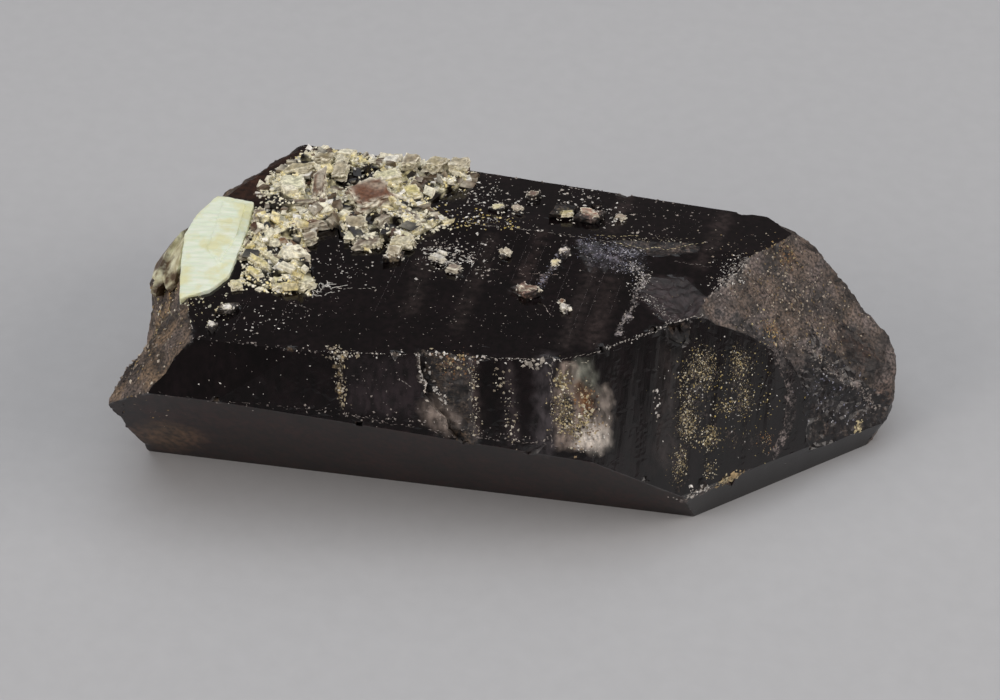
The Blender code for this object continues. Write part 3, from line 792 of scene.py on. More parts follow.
@dataclass
class Crystal:
    """The morion itself: one grown piece with glassy faces, broken ends, everything that stains it and some
    painted light and shade.
    """

    node: str = "morion_crystal"
    grid_mm: float = 3.0
    longest_mm: float = 0.88
    rough_relief: float = 0.26
    growth_relief: float = 0.035
    face_slack: float = 2.2
    level_mm: float = 0.5
    least_face: float = 34.0
    sway: float = 0.75
    finish: MorionFinish = field(default_factory=MorionFinish)

    def build(self) -> bpy.types.Object:
        """Builds the fine crystal and dresses it.

        Returns:
            The piece.
        """
        piece = copied(self.node, "crystal_surface")
        refine(piece, self.grid_mm, self.longest_mm)
        mesh = piece.data
        points, normals = read_points(mesh), read_normals(mesh)
        broken = self.broken_share(mesh)
        write_points(mesh, self.raised(points, normals, broken))
        self.paint(mesh, points, normals, broken)
        mesh.materials.clear()
        mesh.materials.append(self.finish.build())
        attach(piece, BODY)
        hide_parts(self.node)
        LOG.info("crystal: %d triangles", len(mesh.polygons))
        return piece

    def broken_share(self, mesh: bpy.types.Mesh) -> np.ndarray:
        """Finds where the surface follows none of the crystal's faces.

        Args:
            mesh: The fine mesh before it is raised.

        Returns:
            Zero on grown faces, one on broken stone, for each point.
        """
        faces = len(mesh.polygons)
        looks, middles, areas = np.empty(faces * 3), np.empty(faces * 3), np.empty(faces)
        mesh.polygons.foreach_get("normal", looks)
        mesh.polygons.foreach_get("center", middles)
        mesh.polygons.foreach_get("area", areas)
        looks, middles = looks.reshape(-1, 3), middles.reshape(-1, 3) / MM
        rough = np.ones(faces)
        for facet in Facet:
            look = np.array(facet.value)
            alike = looks @ look > math.cos(math.radians(self.face_slack))
            level = np.round(middles @ look / self.level_mm).astype(int)
            level -= level.min()
            found = np.bincount(level[alike], areas[alike] / MM**2, level.max() + 2)
            found = found + np.roll(found, 1) + np.roll(found, -1)
            # A small flat spot off the crystal's faces is part of the broken stone.
            rough[alike & (found[level] > self.least_face)] = 0.0
        corners = np.empty(len(mesh.loops), dtype=np.int32)
        mesh.loops.foreach_get("vertex_index", corners)
        total = np.bincount(corners, np.repeat(rough, 3), len(mesh.vertices))
        count = np.bincount(corners, minlength=len(mesh.vertices))
        return total / np.maximum(count, 1)

    def raised(
        self, points: np.ndarray, normals: np.ndarray, broken: np.ndarray
    ) -> np.ndarray:
        """Gives broken stone its crumbly relief and grown faces their low growth steps.

        Args:
            points: The points before the change.
            normals: The way the surface faces at each point.
            broken: How broken the stone is at each point.

        Returns:
            The raised points.
        """
        coarse = np.array([noise.noise(Vector(p) * 0.55) for p in points])
        fine = np.array([noise.noise(Vector(p) * 1.7) for p in points])
        ridge = 0.3 - 1.3 * np.abs(coarse)
        crumble = broken * (0.5 * coarse + 0.5 * fine + 0.5 * ridge) * self.rough_relief * 2.0
        crumble = np.where(self.shell(points), crumble * 0.5, crumble)
        bend = np.array(
            [noise.noise(Vector((p[0] * 0.55, p[1] * 0.02, p[2] * 0.05))) for p in points]
        )
        steps = np.round(bend * 5.0) / 5.0
        growth = (1.0 - broken) * steps * self.growth_relief
        on_floor = points[:, 2] < 0.05
        shift = np.where(on_floor, 0.0, crumble + growth)
        return points + normals * shift[:, None]

    @staticmethod
    def shell(points: np.ndarray) -> np.ndarray:
        """Finds the lower part of the broken tip, which parted in one smooth shell-like flake.

        Args:
            points: The stone's points.

        Returns:
            True or False for each point.
        """
        seen = inside_outline(points[:, [0, 2]], np.array(SMOOTH_BREAK))
        return seen & (points[:, 1] < SMOOTH_BREAK_BACK)

    def paint(
        self,
        mesh: bpy.types.Mesh,
        points: np.ndarray,
        normals: np.ndarray,
        broken: np.ndarray,
    ) -> None:
        """Writes the colour, the cover and the dullness that the finish reads.

        Args:
            mesh: The fine mesh.
            points: Its points before they were raised.
            normals: The way the surface faces at each point.
            broken: How broken the stone is at each point.
        """
        count = len(points)
        root, tip = np.array(linear(ROOT_BROKEN)), np.array(linear(TIP_BROKEN))
        toward_tip = np.clip((points[:, 0] + 10.0) / 30.0, 0.0, 1.0)[:, None]
        tint = root * (1 - toward_tip) + tip * toward_tip
        within = np.tile(np.array(linear(STONE)), (count, 1))
        at_end = np.clip(np.maximum(-points[:, 0] - 42.0, points[:, 0] - 26.0), 0, 1)
        cover = broken * (0.45 + 0.45 * at_end)
        dull = broken * 0.9
        shell = self.shell(points)
        cover = np.where(shell, cover * 0.4, cover)
        dull = np.where(shell, dull * 0.4, dull)
        # Stains and painted light have uneven edges, so each point looks for them a little to one side.
        sway = np.array([noise.noise_vector(Vector(p) * 0.9) for p in points]) * self.sway
        for stain in STAINS_AND_PAINTED_LIGHT:
            weight = stain.weight(points + sway, normals)
            colour = np.array(linear(stain.colour))
            dull = np.maximum(dull, weight * stain.dull)
            if stain.inside:
                share = (weight * stain.strength)[:, None]
                within = within * (1 - share) + colour * share
                cover = cover * (1 - 0.75 * weight)
                continue
            tint = tint * (1 - weight[:, None]) + colour * weight[:, None]
            cover = np.maximum(cover * (1 - weight), weight * stain.strength)
        for grain in LONE_GRAINS:
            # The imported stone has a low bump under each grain, which takes the grain's colour.
            gap = np.hypot(points[:, 0] - grain.place[0], points[:, 1] - grain.place[1])
            reach = max(grain.size) * 0.8
            lifted = np.clip((points[:, 2] - TOP_Z + 0.1) / 0.25, 0, 1) * (broken > 0.3)
            weight = (np.clip(1.6 * (1 - gap / reach), 0, 1) * lifted)[:, None]
            tint = tint * (1 - weight) + np.array(linear(grain.colour)) * weight
            cover = np.maximum(cover, 0.95 * weight[:, 0])
        for name, values in (("tint", tint), ("within", within), ("cover", cover), ("dull", dull)):
            write_values(mesh, name, values)
        LOG.info("crystal: %d stains on %d points", len(STAINS_AND_PAINTED_LIGHT), count)


@dataclass
class Heap:
    """Many small solids gathered into one mesh, each with its own colour."""

    points: list[Vector] = field(default_factory=list)
    faces: list[tuple[int, ...]] = field(default_factory=list)
    tints: list[tuple[float, float, float, float]] = field(default_factory=list)
    clears: list[float] = field(default_factory=list)

    def add(
        self,
        corners: list[Vector],
        faces: list[tuple[int, ...]],
        colour: str,
        clear: float = 0.0,
        shade: float = 1.0,
        powder: list[float] | None = None,
    ) -> None:
        """Adds one solid.

        Args:
            corners: Its corners in metres in the part's frame.
            faces: Its faces, by corner.
            colour: Its colour.
            clear: How clear and glossy it is.
            shade: A factor on the colour's brightness.
            powder: How much pale powder lies on each corner, zero to one.
        """
        first = len(self.points)
        self.points.extend(corners)
        self.faces.extend(tuple(first + i for i in face) for face in faces)
        own, dust = Vector(linear(colour)[:3]) * shade, Vector(linear(POWDER)[:3])
        for place in range(len(corners)):
            share = powder[place] if powder else 0.0
            self.tints.append((*own.lerp(dust, share), 1.0))
            self.clears.append(clear * (1 - share))

    def make(self, name: str, finish: GrainFinish) -> bpy.types.Object:
        """Makes the piece.

        Args:
            name: The piece's name.
            finish: What its grains are made of.

        Returns:
            The piece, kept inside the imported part's box.
        """
        mesh = bpy.data.meshes.new(name)
        lo, hi = CAD_BOX
        kept = [
            Vector(min(max(p[i], lo[i]), hi[i]) for i in range(3)) for p in self.points
        ]
        mesh.from_pydata(kept, [], self.faces)
        write_values(mesh, "tint", np.array(self.tints))
        write_values(mesh, "clear", np.array(self.clears))
        mesh.materials.append(finish.build())
        piece = bpy.data.objects.new(name, mesh)
        bpy.context.scene.collection.objects.link(piece)
        LOG.info("%s: %d faces", name, len(mesh.polygons))
        return piece


POWDER = "#F5F0DA"
BLOCK_FACES = [(0, 3, 2, 1), (4, 5, 6, 7), (0, 1, 5, 4), (1, 2, 6, 5), (2, 3, 7, 6), (3, 0, 4, 7)]
CHIP_FACES = [(0, 2, 4), (2, 1, 4), (1, 3, 4), (3, 0, 4), (2, 0, 5), (1, 2, 5), (3, 1, 5), (0, 3, 5)]


def rhomb(
    place: Vector,
    up: Vector,
    size: Point,
    chance: np.random.Generator,
    tilt: float = 0.3,
) -> list[Vector]:
    """Shapes a small skewed block, the cleavage form of feldspar.

    Args:
        place: Its middle, in metres.
        up: The way its flat face looks.
        size: Its length, width and height in millimetres.
        chance: The source of chance.
        tilt: How far it may lean, in radians.

    Returns:
        Its eight corners.
    """
    turn = Matrix.Rotation(chance.uniform(0, math.tau), 3, "Z")
    lean = Matrix.Rotation(chance.normal(0, tilt), 3, "X")
    lean = lean @ Matrix.Rotation(chance.normal(0, tilt), 3, "Y")
    stand = Vector((0, 0, 1)).rotation_difference(up).to_matrix()
    skew = chance.uniform(0.15, 0.45)
    corners = []
    for z in (-0.5, 0.5):
        for x, y in ((-0.5, -0.5), (0.5, -0.5), (0.5, 0.5), (-0.5, 0.5)):
            worn = 1.0 - abs(chance.normal(0, 0.12))
            at = Vector(((x + skew * y) * size[0], y * size[1], z * size[2])) * worn
            corners.append(place + stand @ lean @ turn @ at * MM)
    return corners


def worn_block(
    middle: Vector,
    stand: Matrix,
    size: Point,
    cells: int,
    chance: np.random.Generator,
) -> tuple[list[Vector], list[tuple[int, ...]], list[float]]:
    """Shapes a larger grain: a skewed block with chipped, uneven faces and powder on its rim.

    Args:
        middle: Its middle, in metres.
        stand: Its own axes in the part's frame.
        size: Its length, width and height in millimetres.
        cells: How many cells each of its sides is divided into.
        chance: The source of chance.

    Returns:
        Its corners, its faces, and the share of powder on each corner.
    """
    index: dict[tuple[int, int, int], int] = {}
    corners: list[Vector] = []
    powder: list[float] = []
    faces: list[tuple[int, ...]] = []
    seed = Vector(chance.uniform(-50, 50, 3))
    skew = chance.uniform(-0.3, 0.35)

    def corner(cell: tuple[int, int, int]) -> int:
        """Returns the place of one surface point, made when it is first asked for."""
        if cell in index:
            return index[cell]
        x, y, z = (c / cells - 0.5 for c in cell)
        lump = noise.noise(seed + Vector((x, y, z)) * 2.6)
        nick = noise.noise(seed * 2 + Vector((x, y, z)) * 6.0)
        rim = max(abs(x), abs(y)) * 2
        pull = 1.0 - 0.16 * rim**6 * (0.5 + z) + 0.3 * lump + 0.16 * nick
        at = Vector(((x + skew * y) * size[0], y * size[1], z * size[2])) * pull
        index[cell] = len(corners)
        corners.append(middle + stand @ at * MM)
        edge = min(max((rim - 0.62) / 0.3, 0.0), 1.0)
        powder.append(min(max(edge * (0.55 + 1.3 * nick) + 0.7 * lump, 0.0), 1.0))
        return index[cell]

    for axis in range(3):
        for side in (0, cells):
            for u in range(cells):
                for v in range(cells):
                    ring = [(u, v), (u + 1, v), (u + 1, v + 1), (u, v + 1)]
                    cells_of = [(*p[:axis], side, *p[axis:]) for p in ring]
                    face = tuple(corner(c) for c in cells_of)
                    outward = (side > 0) == (axis != 1)
                    faces.append(face if outward else face[::-1])
    return corners, faces, powder


def sliver(size: Point) -> list[Point]:
    """Returns the six corners of a long thin flake of the given length, width and height."""
    length, width, height = (s / 2 for s in size)
    flat = [(-length, 0, 0), (length, 0, 0), (0, -width, 0), (0, width, 0)]
    return [*flat, (0, 0, height), (0, 0, -height)]


def chip(
    place: Vector,
    up: Vector,
    size: float,
    flat: float,
    chance: np.random.Generator,
    long: float = 1.0,
) -> list[Vector]:
    """Shapes a tiny flake lying on a surface.

    Args:
        place: Its middle, in metres.
        up: The way the surface looks.
        size: How wide it is, in millimetres.
        flat: Its thickness as a share of its width.
        chance: The source of chance.
        long: Its length as a multiple of its width.

    Returns:
        Its six corners.
    """
    turn = Matrix.Rotation(chance.uniform(0, math.tau), 3, "Z")
    stand = Vector((0, 0, 1)).rotation_difference(up).to_matrix()
    corners = []
    for i, spot in enumerate(sliver((size * long, size, size * flat))):
        knock = Vector(chance.normal(0, size * 0.12, 3)) * (1 if i < 4 else 0.3)
        corners.append(place + stand @ turn @ (Vector(spot) + knock) * MM)
    return corners


@dataclass(frozen=True)
class FleckField:
    """Tiny flakes strewn along a line or round a spot."""

    path: tuple[Point, ...]
    spread: float
    count: int
    sizes: tuple[float, float]
    colours: tuple[str, ...]
    long: float = 1.3


SLIVER = 0.5


@dataclass(frozen=True)
class Vein:
    """A thin crack, ridge or scratch that shows as a pale line on the stone."""

    path: tuple[Point, ...]
    width: float
    colour: str
    wander: float = 0.12
    gaps: float = 0.25


# Growth lines run straight across the top face, each by where it starts and ends.
GROWTH_LINES = tuple(
    Vein(((x, far, TOP_Z), (x - 0.09 * (far - near), near, TOP_Z)), 0.06, "#5C5456", 0.02, 0.15)
    for x, far, near in (
        (-17.2, -3.4, -14.6),
        (-15.9, -1.8, -9.8),
        (-6.1, 4.6, -6.2),
        (-1.4, 6.4, 1.2),
        (0.4, 6.6, -4.4),
        (1.2, 6.2, -0.8),
        (2.9, 5.0, -8.8),
        (5.1, 3.8, -4.6),
        (7.2, 1.6, -11.8),
        (10.6, -1.4, -15.2),
        (12.2, 0.2, -12.6),
        (14.8, -2.2, -9.4),
        (-30.4, -13.8, -21.6),
        (-36.2, -15.2, -22.4),
    )
)

VEINS = (
    # Chipped long edges of the top face and the split face.
    Vein(((-22.6, -24.2, 31.3), (-10.0, -22.6, 31.3)), 0.09, "#8E8680", gaps=0.4),
    Vein(((-6.0, -22.4, 31.3), (9.0, -20.3, 31.3), (14.0, -17.6, 31.3)), 0.08, "#B3ABA3", 0.08, 0.2),
    Vein(((14.0, -17.6, 31.3), (21.6, -12.0, 31.3), (28.4, -6.6, 31.3)), 0.09, "#C4BDB5", 0.07, 0.1),
    Vein(
        ((-22, -28.5, 23.6), (-7.3, -26.6, 21.0), (3.4, -25.9, 20.1), (14, -24.6, 19.4)), 0.1, "#857C76",
        gaps=0.5,
    ),
    Vein(((-52, -28.8, 24), (-22, -28.6, 23.8)), 0.07, "#6E6560", gaps=0.5),
    # The ridge that crosses the top face.
    Vein(
        ((-8.0, 7.6, 31.3), (-3.0, 7.7, 31.3), (2.0, 7.6, 31.3), (7.0, 7.2, 31.3), (12.6, 6.8, 31.3)),
        0.11, "#9B948D", gaps=0.25,
    ),
    Vein(
        ((12.6, 6.8, 31.3), (17.1, 6.6, 31.3), (21.0, 7.4, 31.3), (25.3, 9.4, 31.0)), 0.13, "#D6CBA6",
        0.04, 0.08,
    ),
    Vein(((9.6, 8.2, 31.2), (13.0, 8.6, 31.1), (15.6, 9.4, 31.0)), 0.13, "#C2B48A", 0.05, 0.2),
    Vein(((-13.0, 8.4, 31.2), (-9.6, 8.2, 31.2), (-6.4, 7.6, 31.3)), 0.18, "#C9C3AE", gaps=0.3),
    # Fine lines and scratches on the top face.
    *GROWTH_LINES,
    Vein(((-7.0, -3.0, 31.3), (-2.2, -2.2, 31.3)), 0.09, "#A8A196"),
    Vein(((0.0, -2.8, 31.3), (5.8, -1.8, 31.3)), 0.09, "#A8988F"),
    Vein(((-24.3, -10.6, 31.3), (-21.6, -9.9, 31.3), (-19.2, -9.6, 31.3)), 0.12, "#B9B4AB"),
    Vein(((4.8, -9.0, 31.3), (5.8, -10.4, 31.3), (6.6, -12.0, 31.3)), 0.12, "#B3A79F"),
    Vein(((16.0, -13.7, 31.3), (17.3, -6.1, 31.3), (16.9, -3.4, 31.3)), 0.22, "#A49C97", 0.3),
    Vein(((-30.0, -14.5, 31.3), (-27.0, -15.6, 31.3)), 0.08, "#8F8982"),
    Vein(((-13.4, -6.0, 31.3), (-13.2, -13.4, 31.3)), 0.07, "#6D6564", gaps=0.5),
    Vein(((21.5, 4.0, 31.3), (27.0, 3.6, 31.3)), 0.09, "#8E8682"),
    # Cracks and the bright step of the split face.
    Vein(((-20.9, -24.2, 30.9), (-20.6, -25.6, 27.4), (-20.4, -27.0, 23.6)), 0.2, "#BFB08C", 0.2, 0.35),
    Vein(
        (
            (-9.9, -22.6, 31.2), (-9.5, -23.7, 28.4), (-8.6, -24.6, 26.0), (-6.9, -24.8, 24.4),
            (-6.0, -25.2, 23.4),
        ),
        0.26, "#C4BCB0", 0.2, 0.1,
    ),
    Vein(((-13.1, -24.3, 28.1), (-11.0, -24.5, 26.8)), 0.1, "#B9B1AB", 0.05, 0.0),
    Vein(((-3.0, -22.0, 30.9), (-2.4, -23.8, 26.1), (-1.8, -25.8, 20.6)), 0.14, "#9E958B", 0.25, 0.4),
    Vein(((7.8, -20.6, 31.3), (8.2, -23.0, 25.4), (8.7, -25.2, 19.2)), 0.1, "#A79D97", 0.08, 0.2),
    Vein(((9.4, -20.6, 30.8), (13.6, -19.9, 31.0)), 0.12, "#B9B4A0", 0.1, 0.2),
    # Cracks of the back faces.
    Vein(((8.0, 24.6, 27.6), (9.6, 26.4, 22.0), (11.0, 28.2, 17.0)), 0.14, "#9A918A", 0.25, 0.3),
    Vein(((-18.2, 26.4, 27.0), (-17.0, 30.4, 17.0)), 0.12, "#A89D88", 0.2, 0.35),
    Vein(((-38.0, 25.5, 29.0), (-10.0, 23.4, 29.1), (32.0, 19.5, 29.0)), 0.1, "#857C76", 0.1, 0.5),
    # Tip: the border of its face and the ridges of the broken end.
    Vein(
        (
            (27.8, -5.4, 30.4), (33.7, -2.8, 25.7), (37.0, -2.1, 21.8), (38.9, -2.8, 17.5),
            (39.6, -3.6, 15.1), (39.6, -5.7, 11.3), (38.0, -9.0, 8.2),
        ),
        0.14, "#857B75", 0.15, 0.2,
    ),
    Vein(
        ((36.6, -0.6, 24.4), (41.6, 1.4, 20.6), (48.1, 3.2, 13.6), (53.0, 4.4, 7.4)), 0.2, "#8F857D",
        0.35, 0.2,
    ),
    Vein(((26.6, -18.2, 7.4), (31.0, -16.0, 7.0), (36.0, -12.6, 7.2)), 0.2, "#A3988C", 0.25, 0.2),
    Vein(((27.6, -4.6, 31.4), (28.4, -0.4, 32.2), (30.6, 3.6, 32.2)), 0.26, "#9F968F", 0.3, 0.2),
)

WHITE_FLECKS = ("#E9E6DF", "#CFCBC4", "#B7AFA6")
YELLOW_FLECKS = ("#E9E6DF", "#D9C88F", "#BFA85A")
RUST_FLECKS = ("#8F6A44", "#664632", "#CFC2A2", "#B5A076")
DIM_FLECKS = ("#8F8781", "#6F6663", "#A79E96")
GOLD_FLECKS = ("#C4B48A", "#94855F", "#DDD6C0", "#6E6043")
PALE_FLECKS = ("#CFC8B8", "#A79C84", "#8A7F6E")
BLUISH_FLECKS = ("#77788A", "#9A9AA6", "#5C5B68", "#C3C2C6")
TIP_FLECKS = ("#A99B8C", "#5E5048", "#C3B7A4", "#8A7656", "#241C19")

FLECK_FIELDS = (
    # Chipped long edges.
    FleckField(((-49, -24.7, 31.3), (-23, -24.3, 31.3)), 0.3, 70, (0.1, 0.4), DIM_FLECKS),
    FleckField(((-23, -24.3, 31.3), (9, -20.7, 31.3)), 0.4, 130, (0.1, 0.5), WHITE_FLECKS),
    FleckField(((-52, -28.8, 24), (-22, -28.6, 23.8)), 0.3, 50, (0.1, 0.35), DIM_FLECKS),
    FleckField(((-22, -28.5, 23.6), (14, -24.6, 19.4)), 0.4, 110, (0.1, 0.4), DIM_FLECKS),
    FleckField(((14, -17.5, 31.3), (28.4, -6.6, 31.3)), 0.3, 70, (0.07, 0.34), WHITE_FLECKS),
    # Dusty clusters on the tip face.
    FleckField(((26.8, -9.4, 24.8), (28.2, -9.8, 22.2)), 1.3, 798, (0.05, 0.26), GOLD_FLECKS),
    FleckField(((24.8, -11.4, 24.0), (25.8, -13.4, 18.6)), 0.6, 150, (0.08, 0.32), GOLD_FLECKS),
    FleckField(((26.0, -13.6, 18.6), (26.8, -15.2, 15.4)), 1.0, 608, (0.05, 0.26), GOLD_FLECKS),
    FleckField(((25.6, -16.8, 13.6), (25.8, -18.4, 10.6)), 0.7, 323, (0.05, 0.26), GOLD_FLECKS),
    FleckField(((29.6, -12.6, 15.4), (29.4, -14.0, 12.6)), 0.7, 170, (0.08, 0.36), GOLD_FLECKS),
    FleckField(((32.0, -5.4, 23.6), (33.2, -6.6, 20.6)), 0.9, 399, (0.05, 0.26), GOLD_FLECKS),
    FleckField(((33.4, -7.2, 18.6), (34.0, -8.6, 15.6)), 0.7, 228, (0.05, 0.26), GOLD_FLECKS),
    FleckField(((30.6, -10.6, 17.6), (32.4, -9.8, 17.0)), 0.7, 80, (0.08, 0.3), GOLD_FLECKS),
    FleckField(((36.8, -8.6, 11.6), (38.0, -8.4, 9.8)), 0.6, 70, (0.08, 0.3), RUST_FLECKS),
    FleckField(((29.8, -15.2, 10.6), (30.2, -15.8, 9.0)), 0.6, 80, (0.08, 0.32), GOLD_FLECKS),
    FleckField(((26, -11, 24), (36, -8, 14)), 4.0, 420, (0.07, 0.28), YELLOW_FLECKS),
    FleckField(((21.6, -14.6, 24.0), (22.4, -17.0, 18.6)), 0.4, 16, (0.2, 0.6), WHITE_FLECKS),
    FleckField(((26.5, -18.4, 7.6), (30.0, -16.6, 7.0)), 0.6, 70, (0.2, 0.7), WHITE_FLECKS),
    FleckField(
        ((31.6, -15.4, 6.9), (34.6, -13.4, 7.2)), 0.6, 70, (0.3, 0.9), ("#D8C9A2", "#C2B08A", "#A8926C"),
    ),
    # Top face.
    FleckField(((-14, 19, 31), (-2, 12, 31)), 3.4, 330, (0.1, 0.5), WHITE_FLECKS),
    FleckField(((-14, 9, 31.3), (-2, 9, 31.3)), 1.4, 170, (0.1, 0.6), YELLOW_FLECKS),
    FleckField(((-13, 1, 31.3), (-8, -2, 31.3)), 2.2, 330, (0.1, 0.5), WHITE_FLECKS),
    FleckField(((-10, 3, 31.3), (8, -2, 31.3)), 4.5, 230, (0.08, 0.34), DIM_FLECKS),
    FleckField(((-30, -16, 31.3), (10, -13, 31.3)), 3.4, 260, (0.07, 0.26), DIM_FLECKS),
    FleckField(((-44, -20, 31.3), (-28, -17, 31.3)), 2.6, 170, (0.06, 0.36), WHITE_FLECKS),
    FleckField(((-28, -4, 31.3), (-22, -6, 31.3)), 2.6, 110, (0.08, 0.4), WHITE_FLECKS),
    FleckField(((-46, -14, 31.3), (-40, -20, 31.3)), 2.0, 120, (0.1, 0.5), ("#D9D7BE", "#B9AE8A")),
    FleckField(
        ((15.4, 2.2, 31.3), (18.2, -0.6, 31.3), (17.0, -3.4, 31.3)), 0.7, 210, (0.06, 0.3), WHITE_FLECKS,
    ),
    FleckField(
        ((17.0, -3.4, 31.3), (17.3, -6.1, 31.3), (16.0, -13.7, 31.3)), 0.35, 60, (0.1, 0.4), DIM_FLECKS,
    ),
    FleckField(((18.6, -4.4, 31.3), (22.8, -9.2, 31.3)), 0.6, 150, (0.06, 0.26), WHITE_FLECKS),
    FleckField(
        ((11.7, 7.6, 31.2), (17.1, 8.4, 31.1), (22.3, 9.4, 31.0)), 0.6, 110, (0.06, 0.3), PALE_FLECKS,
    ),
    FleckField(
        ((8.0, 6.2, 31.3), (12.4, 3.2, 31.3), (16.4, 1.6, 31.3)), 1.3, 700, (0.06, 0.26), BLUISH_FLECKS,
    ),
    FleckField(((12.6, 5.6, 31.3), (16.6, 5.2, 31.3)), 0.8, 200, (0.08, 0.34), BLUISH_FLECKS),
    FleckField(((5.4, 3.4, 31.3), (3.4, -5.0, 31.3)), 0.35, 80, (0.1, 0.4), BLUISH_FLECKS),
    FleckField(((4, 22, 31), (26, 13, 30)), 3.4, 260, (0.08, 0.4), DIM_FLECKS),
    FleckField(((4.0, 20.0, 30.6), (14.0, 11.4, 31)), 1.6, 70, (0.2, 0.7), WHITE_FLECKS),
    # Split front face.
    FleckField(((-21.2, -23.8, 31.2), (-20.4, -27.0, 23.4)), 0.45, 90, (0.1, 0.5), PALE_FLECKS),
    FleckField(((-22.6, -24.0, 31.2), (-19.4, -23.8, 31.0)), 0.6, 60, (0.15, 0.6), PALE_FLECKS),
    FleckField(
        ((-9.9, -22.5, 31.3), (-9.3, -23.9, 27.9), (-6.0, -24.9, 24.2)), 0.35, 110, (0.1, 0.5),
        WHITE_FLECKS,
    ),
    FleckField(((-19, -25, 29), (-11, -24.6, 25)), 2.6, 70, (0.08, 0.3), DIM_FLECKS),
    FleckField(((-6.5, -22.8, 31), (-3.6, -22.6, 29.4)), 1.0, 120, (0.12, 0.5), RUST_FLECKS),
    FleckField(
        ((-3.0, -22.0, 30.9), (-2.4, -23.8, 26.1), (-1.8, -25.8, 20.6)), 0.4, 120, (0.08, 0.45),
        PALE_FLECKS,
    ),
    FleckField(
        ((0.9, -22.0, 29.7), (2.1, -23.4, 25.6), (3.4, -25.4, 20.1)), 0.6, 120, (0.08, 0.45), PALE_FLECKS,
    ),
    FleckField(((4.2, -21.4, 30.8), (6.2, -21.2, 30.6)), 0.5, 14, (0.4, 0.9), ("#B9B2A6", "#A39C92")),
    FleckField(((9.4, -21.2, 29.6), (9.6, -21.8, 26.4)), 0.7, 150, (0.1, 0.45), GOLD_FLECKS),
    FleckField(((9.6, -22.4, 25.6), (10.4, -23.8, 21.6)), 0.9, 330, (0.08, 0.4), GOLD_FLECKS),
    FleckField(((12.6, -21.6, 27.6), (13.8, -22.6, 24.6)), 0.9, 130, (0.1, 0.5), RUST_FLECKS),
    FleckField(
        ((14.0, -22.4, 25.2), (11.4, -24.0, 20.8)), 0.8, 230, (0.1, 0.5), GOLD_FLECKS + ("#2A201B",),
    ),
    FleckField(
        ((15.4, -23.0, 22.6), (13.6, -24.2, 19.8)), 1.1, 110, (0.1, 0.4),
        ("#EEEAE2", "#D5C9B8", "#8F7A5C"),
    ),
    FleckField(((-38.0, -27.7, 26.0), (-25.8, -25.7, 29.5)), 2.0, 22, (0.1, 0.35), WHITE_FLECKS),
    # Back faces, which the photograph doesn't show: the same chipped edges and dust.
    FleckField(((-38, 25.5, 29.0), (32, 19.5, 29.0)), 0.5, 220, (0.1, 0.5), DIM_FLECKS),
    FleckField(((-44, 31, 16), (36, 25, 16)), 0.5, 160, (0.1, 0.4), DIM_FLECKS),
    FleckField(((-30, 28, 23), (26, 23, 23)), 4.0, 260, (0.07, 0.3), DIM_FLECKS),
    FleckField(((8, 24.6, 27), (11, 28, 17)), 0.6, 110, (0.1, 0.5), WHITE_FLECKS),
    FleckField(((-18, 26.4, 26), (-17, 30.4, 17)), 0.5, 80, (0.1, 0.4), YELLOW_FLECKS),
    # Broken ends.
    FleckField(((28.6, -1.5, 32.0), (31.5, 6.0, 32.0)), 1.3, 330, (0.06, 0.3), WHITE_FLECKS),
    FleckField(
        ((36.4, 10.3, 30.4), (38.0, 10.8, 29.2)), 1.2, 120, (0.1, 0.4), ("#A98A55", "#7A5A3C", "#C9B98A"),
    ),
    FleckField(
        ((36.0, -1.0, 25.2), (37.4, -0.4, 24.0)), 1.0, 110, (0.1, 0.4), ("#A98A55", "#7A5A3C", "#C9B98A"),
    ),
    FleckField(((33, 4, 29), (46, 9, 20)), 3.8, 2100, (0.07, 0.4), TIP_FLECKS),
    FleckField(
        ((36.6, -0.6, 24.4), (41.6, 1.4, 20.6), (48.1, 3.2, 13.6), (53.0, 4.4, 7.4)), 0.5, 260,
        (0.1, 0.5), DIM_FLECKS,
    ),
    FleckField(((43.0, -1.0, 16.0), (50.0, 1.4, 9.0)), 2.2, 160, (0.08, 0.4), BLUISH_FLECKS),
    FleckField(((50.8, 1.6, 6.8), (50.4, 1.2, 5.4)), 0.35, 30, (0.2, 0.6), ("#DCCFA6", "#C4B58C")),
    FleckField(((-52, -22, 26), (-53, -14, 20)), 4.0, 420, (0.1, 0.6), ("#A98F62", "#8F8275", "#C3B8A6")),
    FleckField(((-50, -14, 26), (-52, -4, 22)), 2.4, 260, (0.1, 0.6), ("#A98F62", "#C9B98A", "#D8D2BE")),
)


@dataclass(frozen=True)
class LoneGrain:
    """A single grain grown on the stone, away from the crust."""

    place: tuple[float, float]
    size: Point
    colour: str
    clear: float = 0.2
    dusted: int = 8


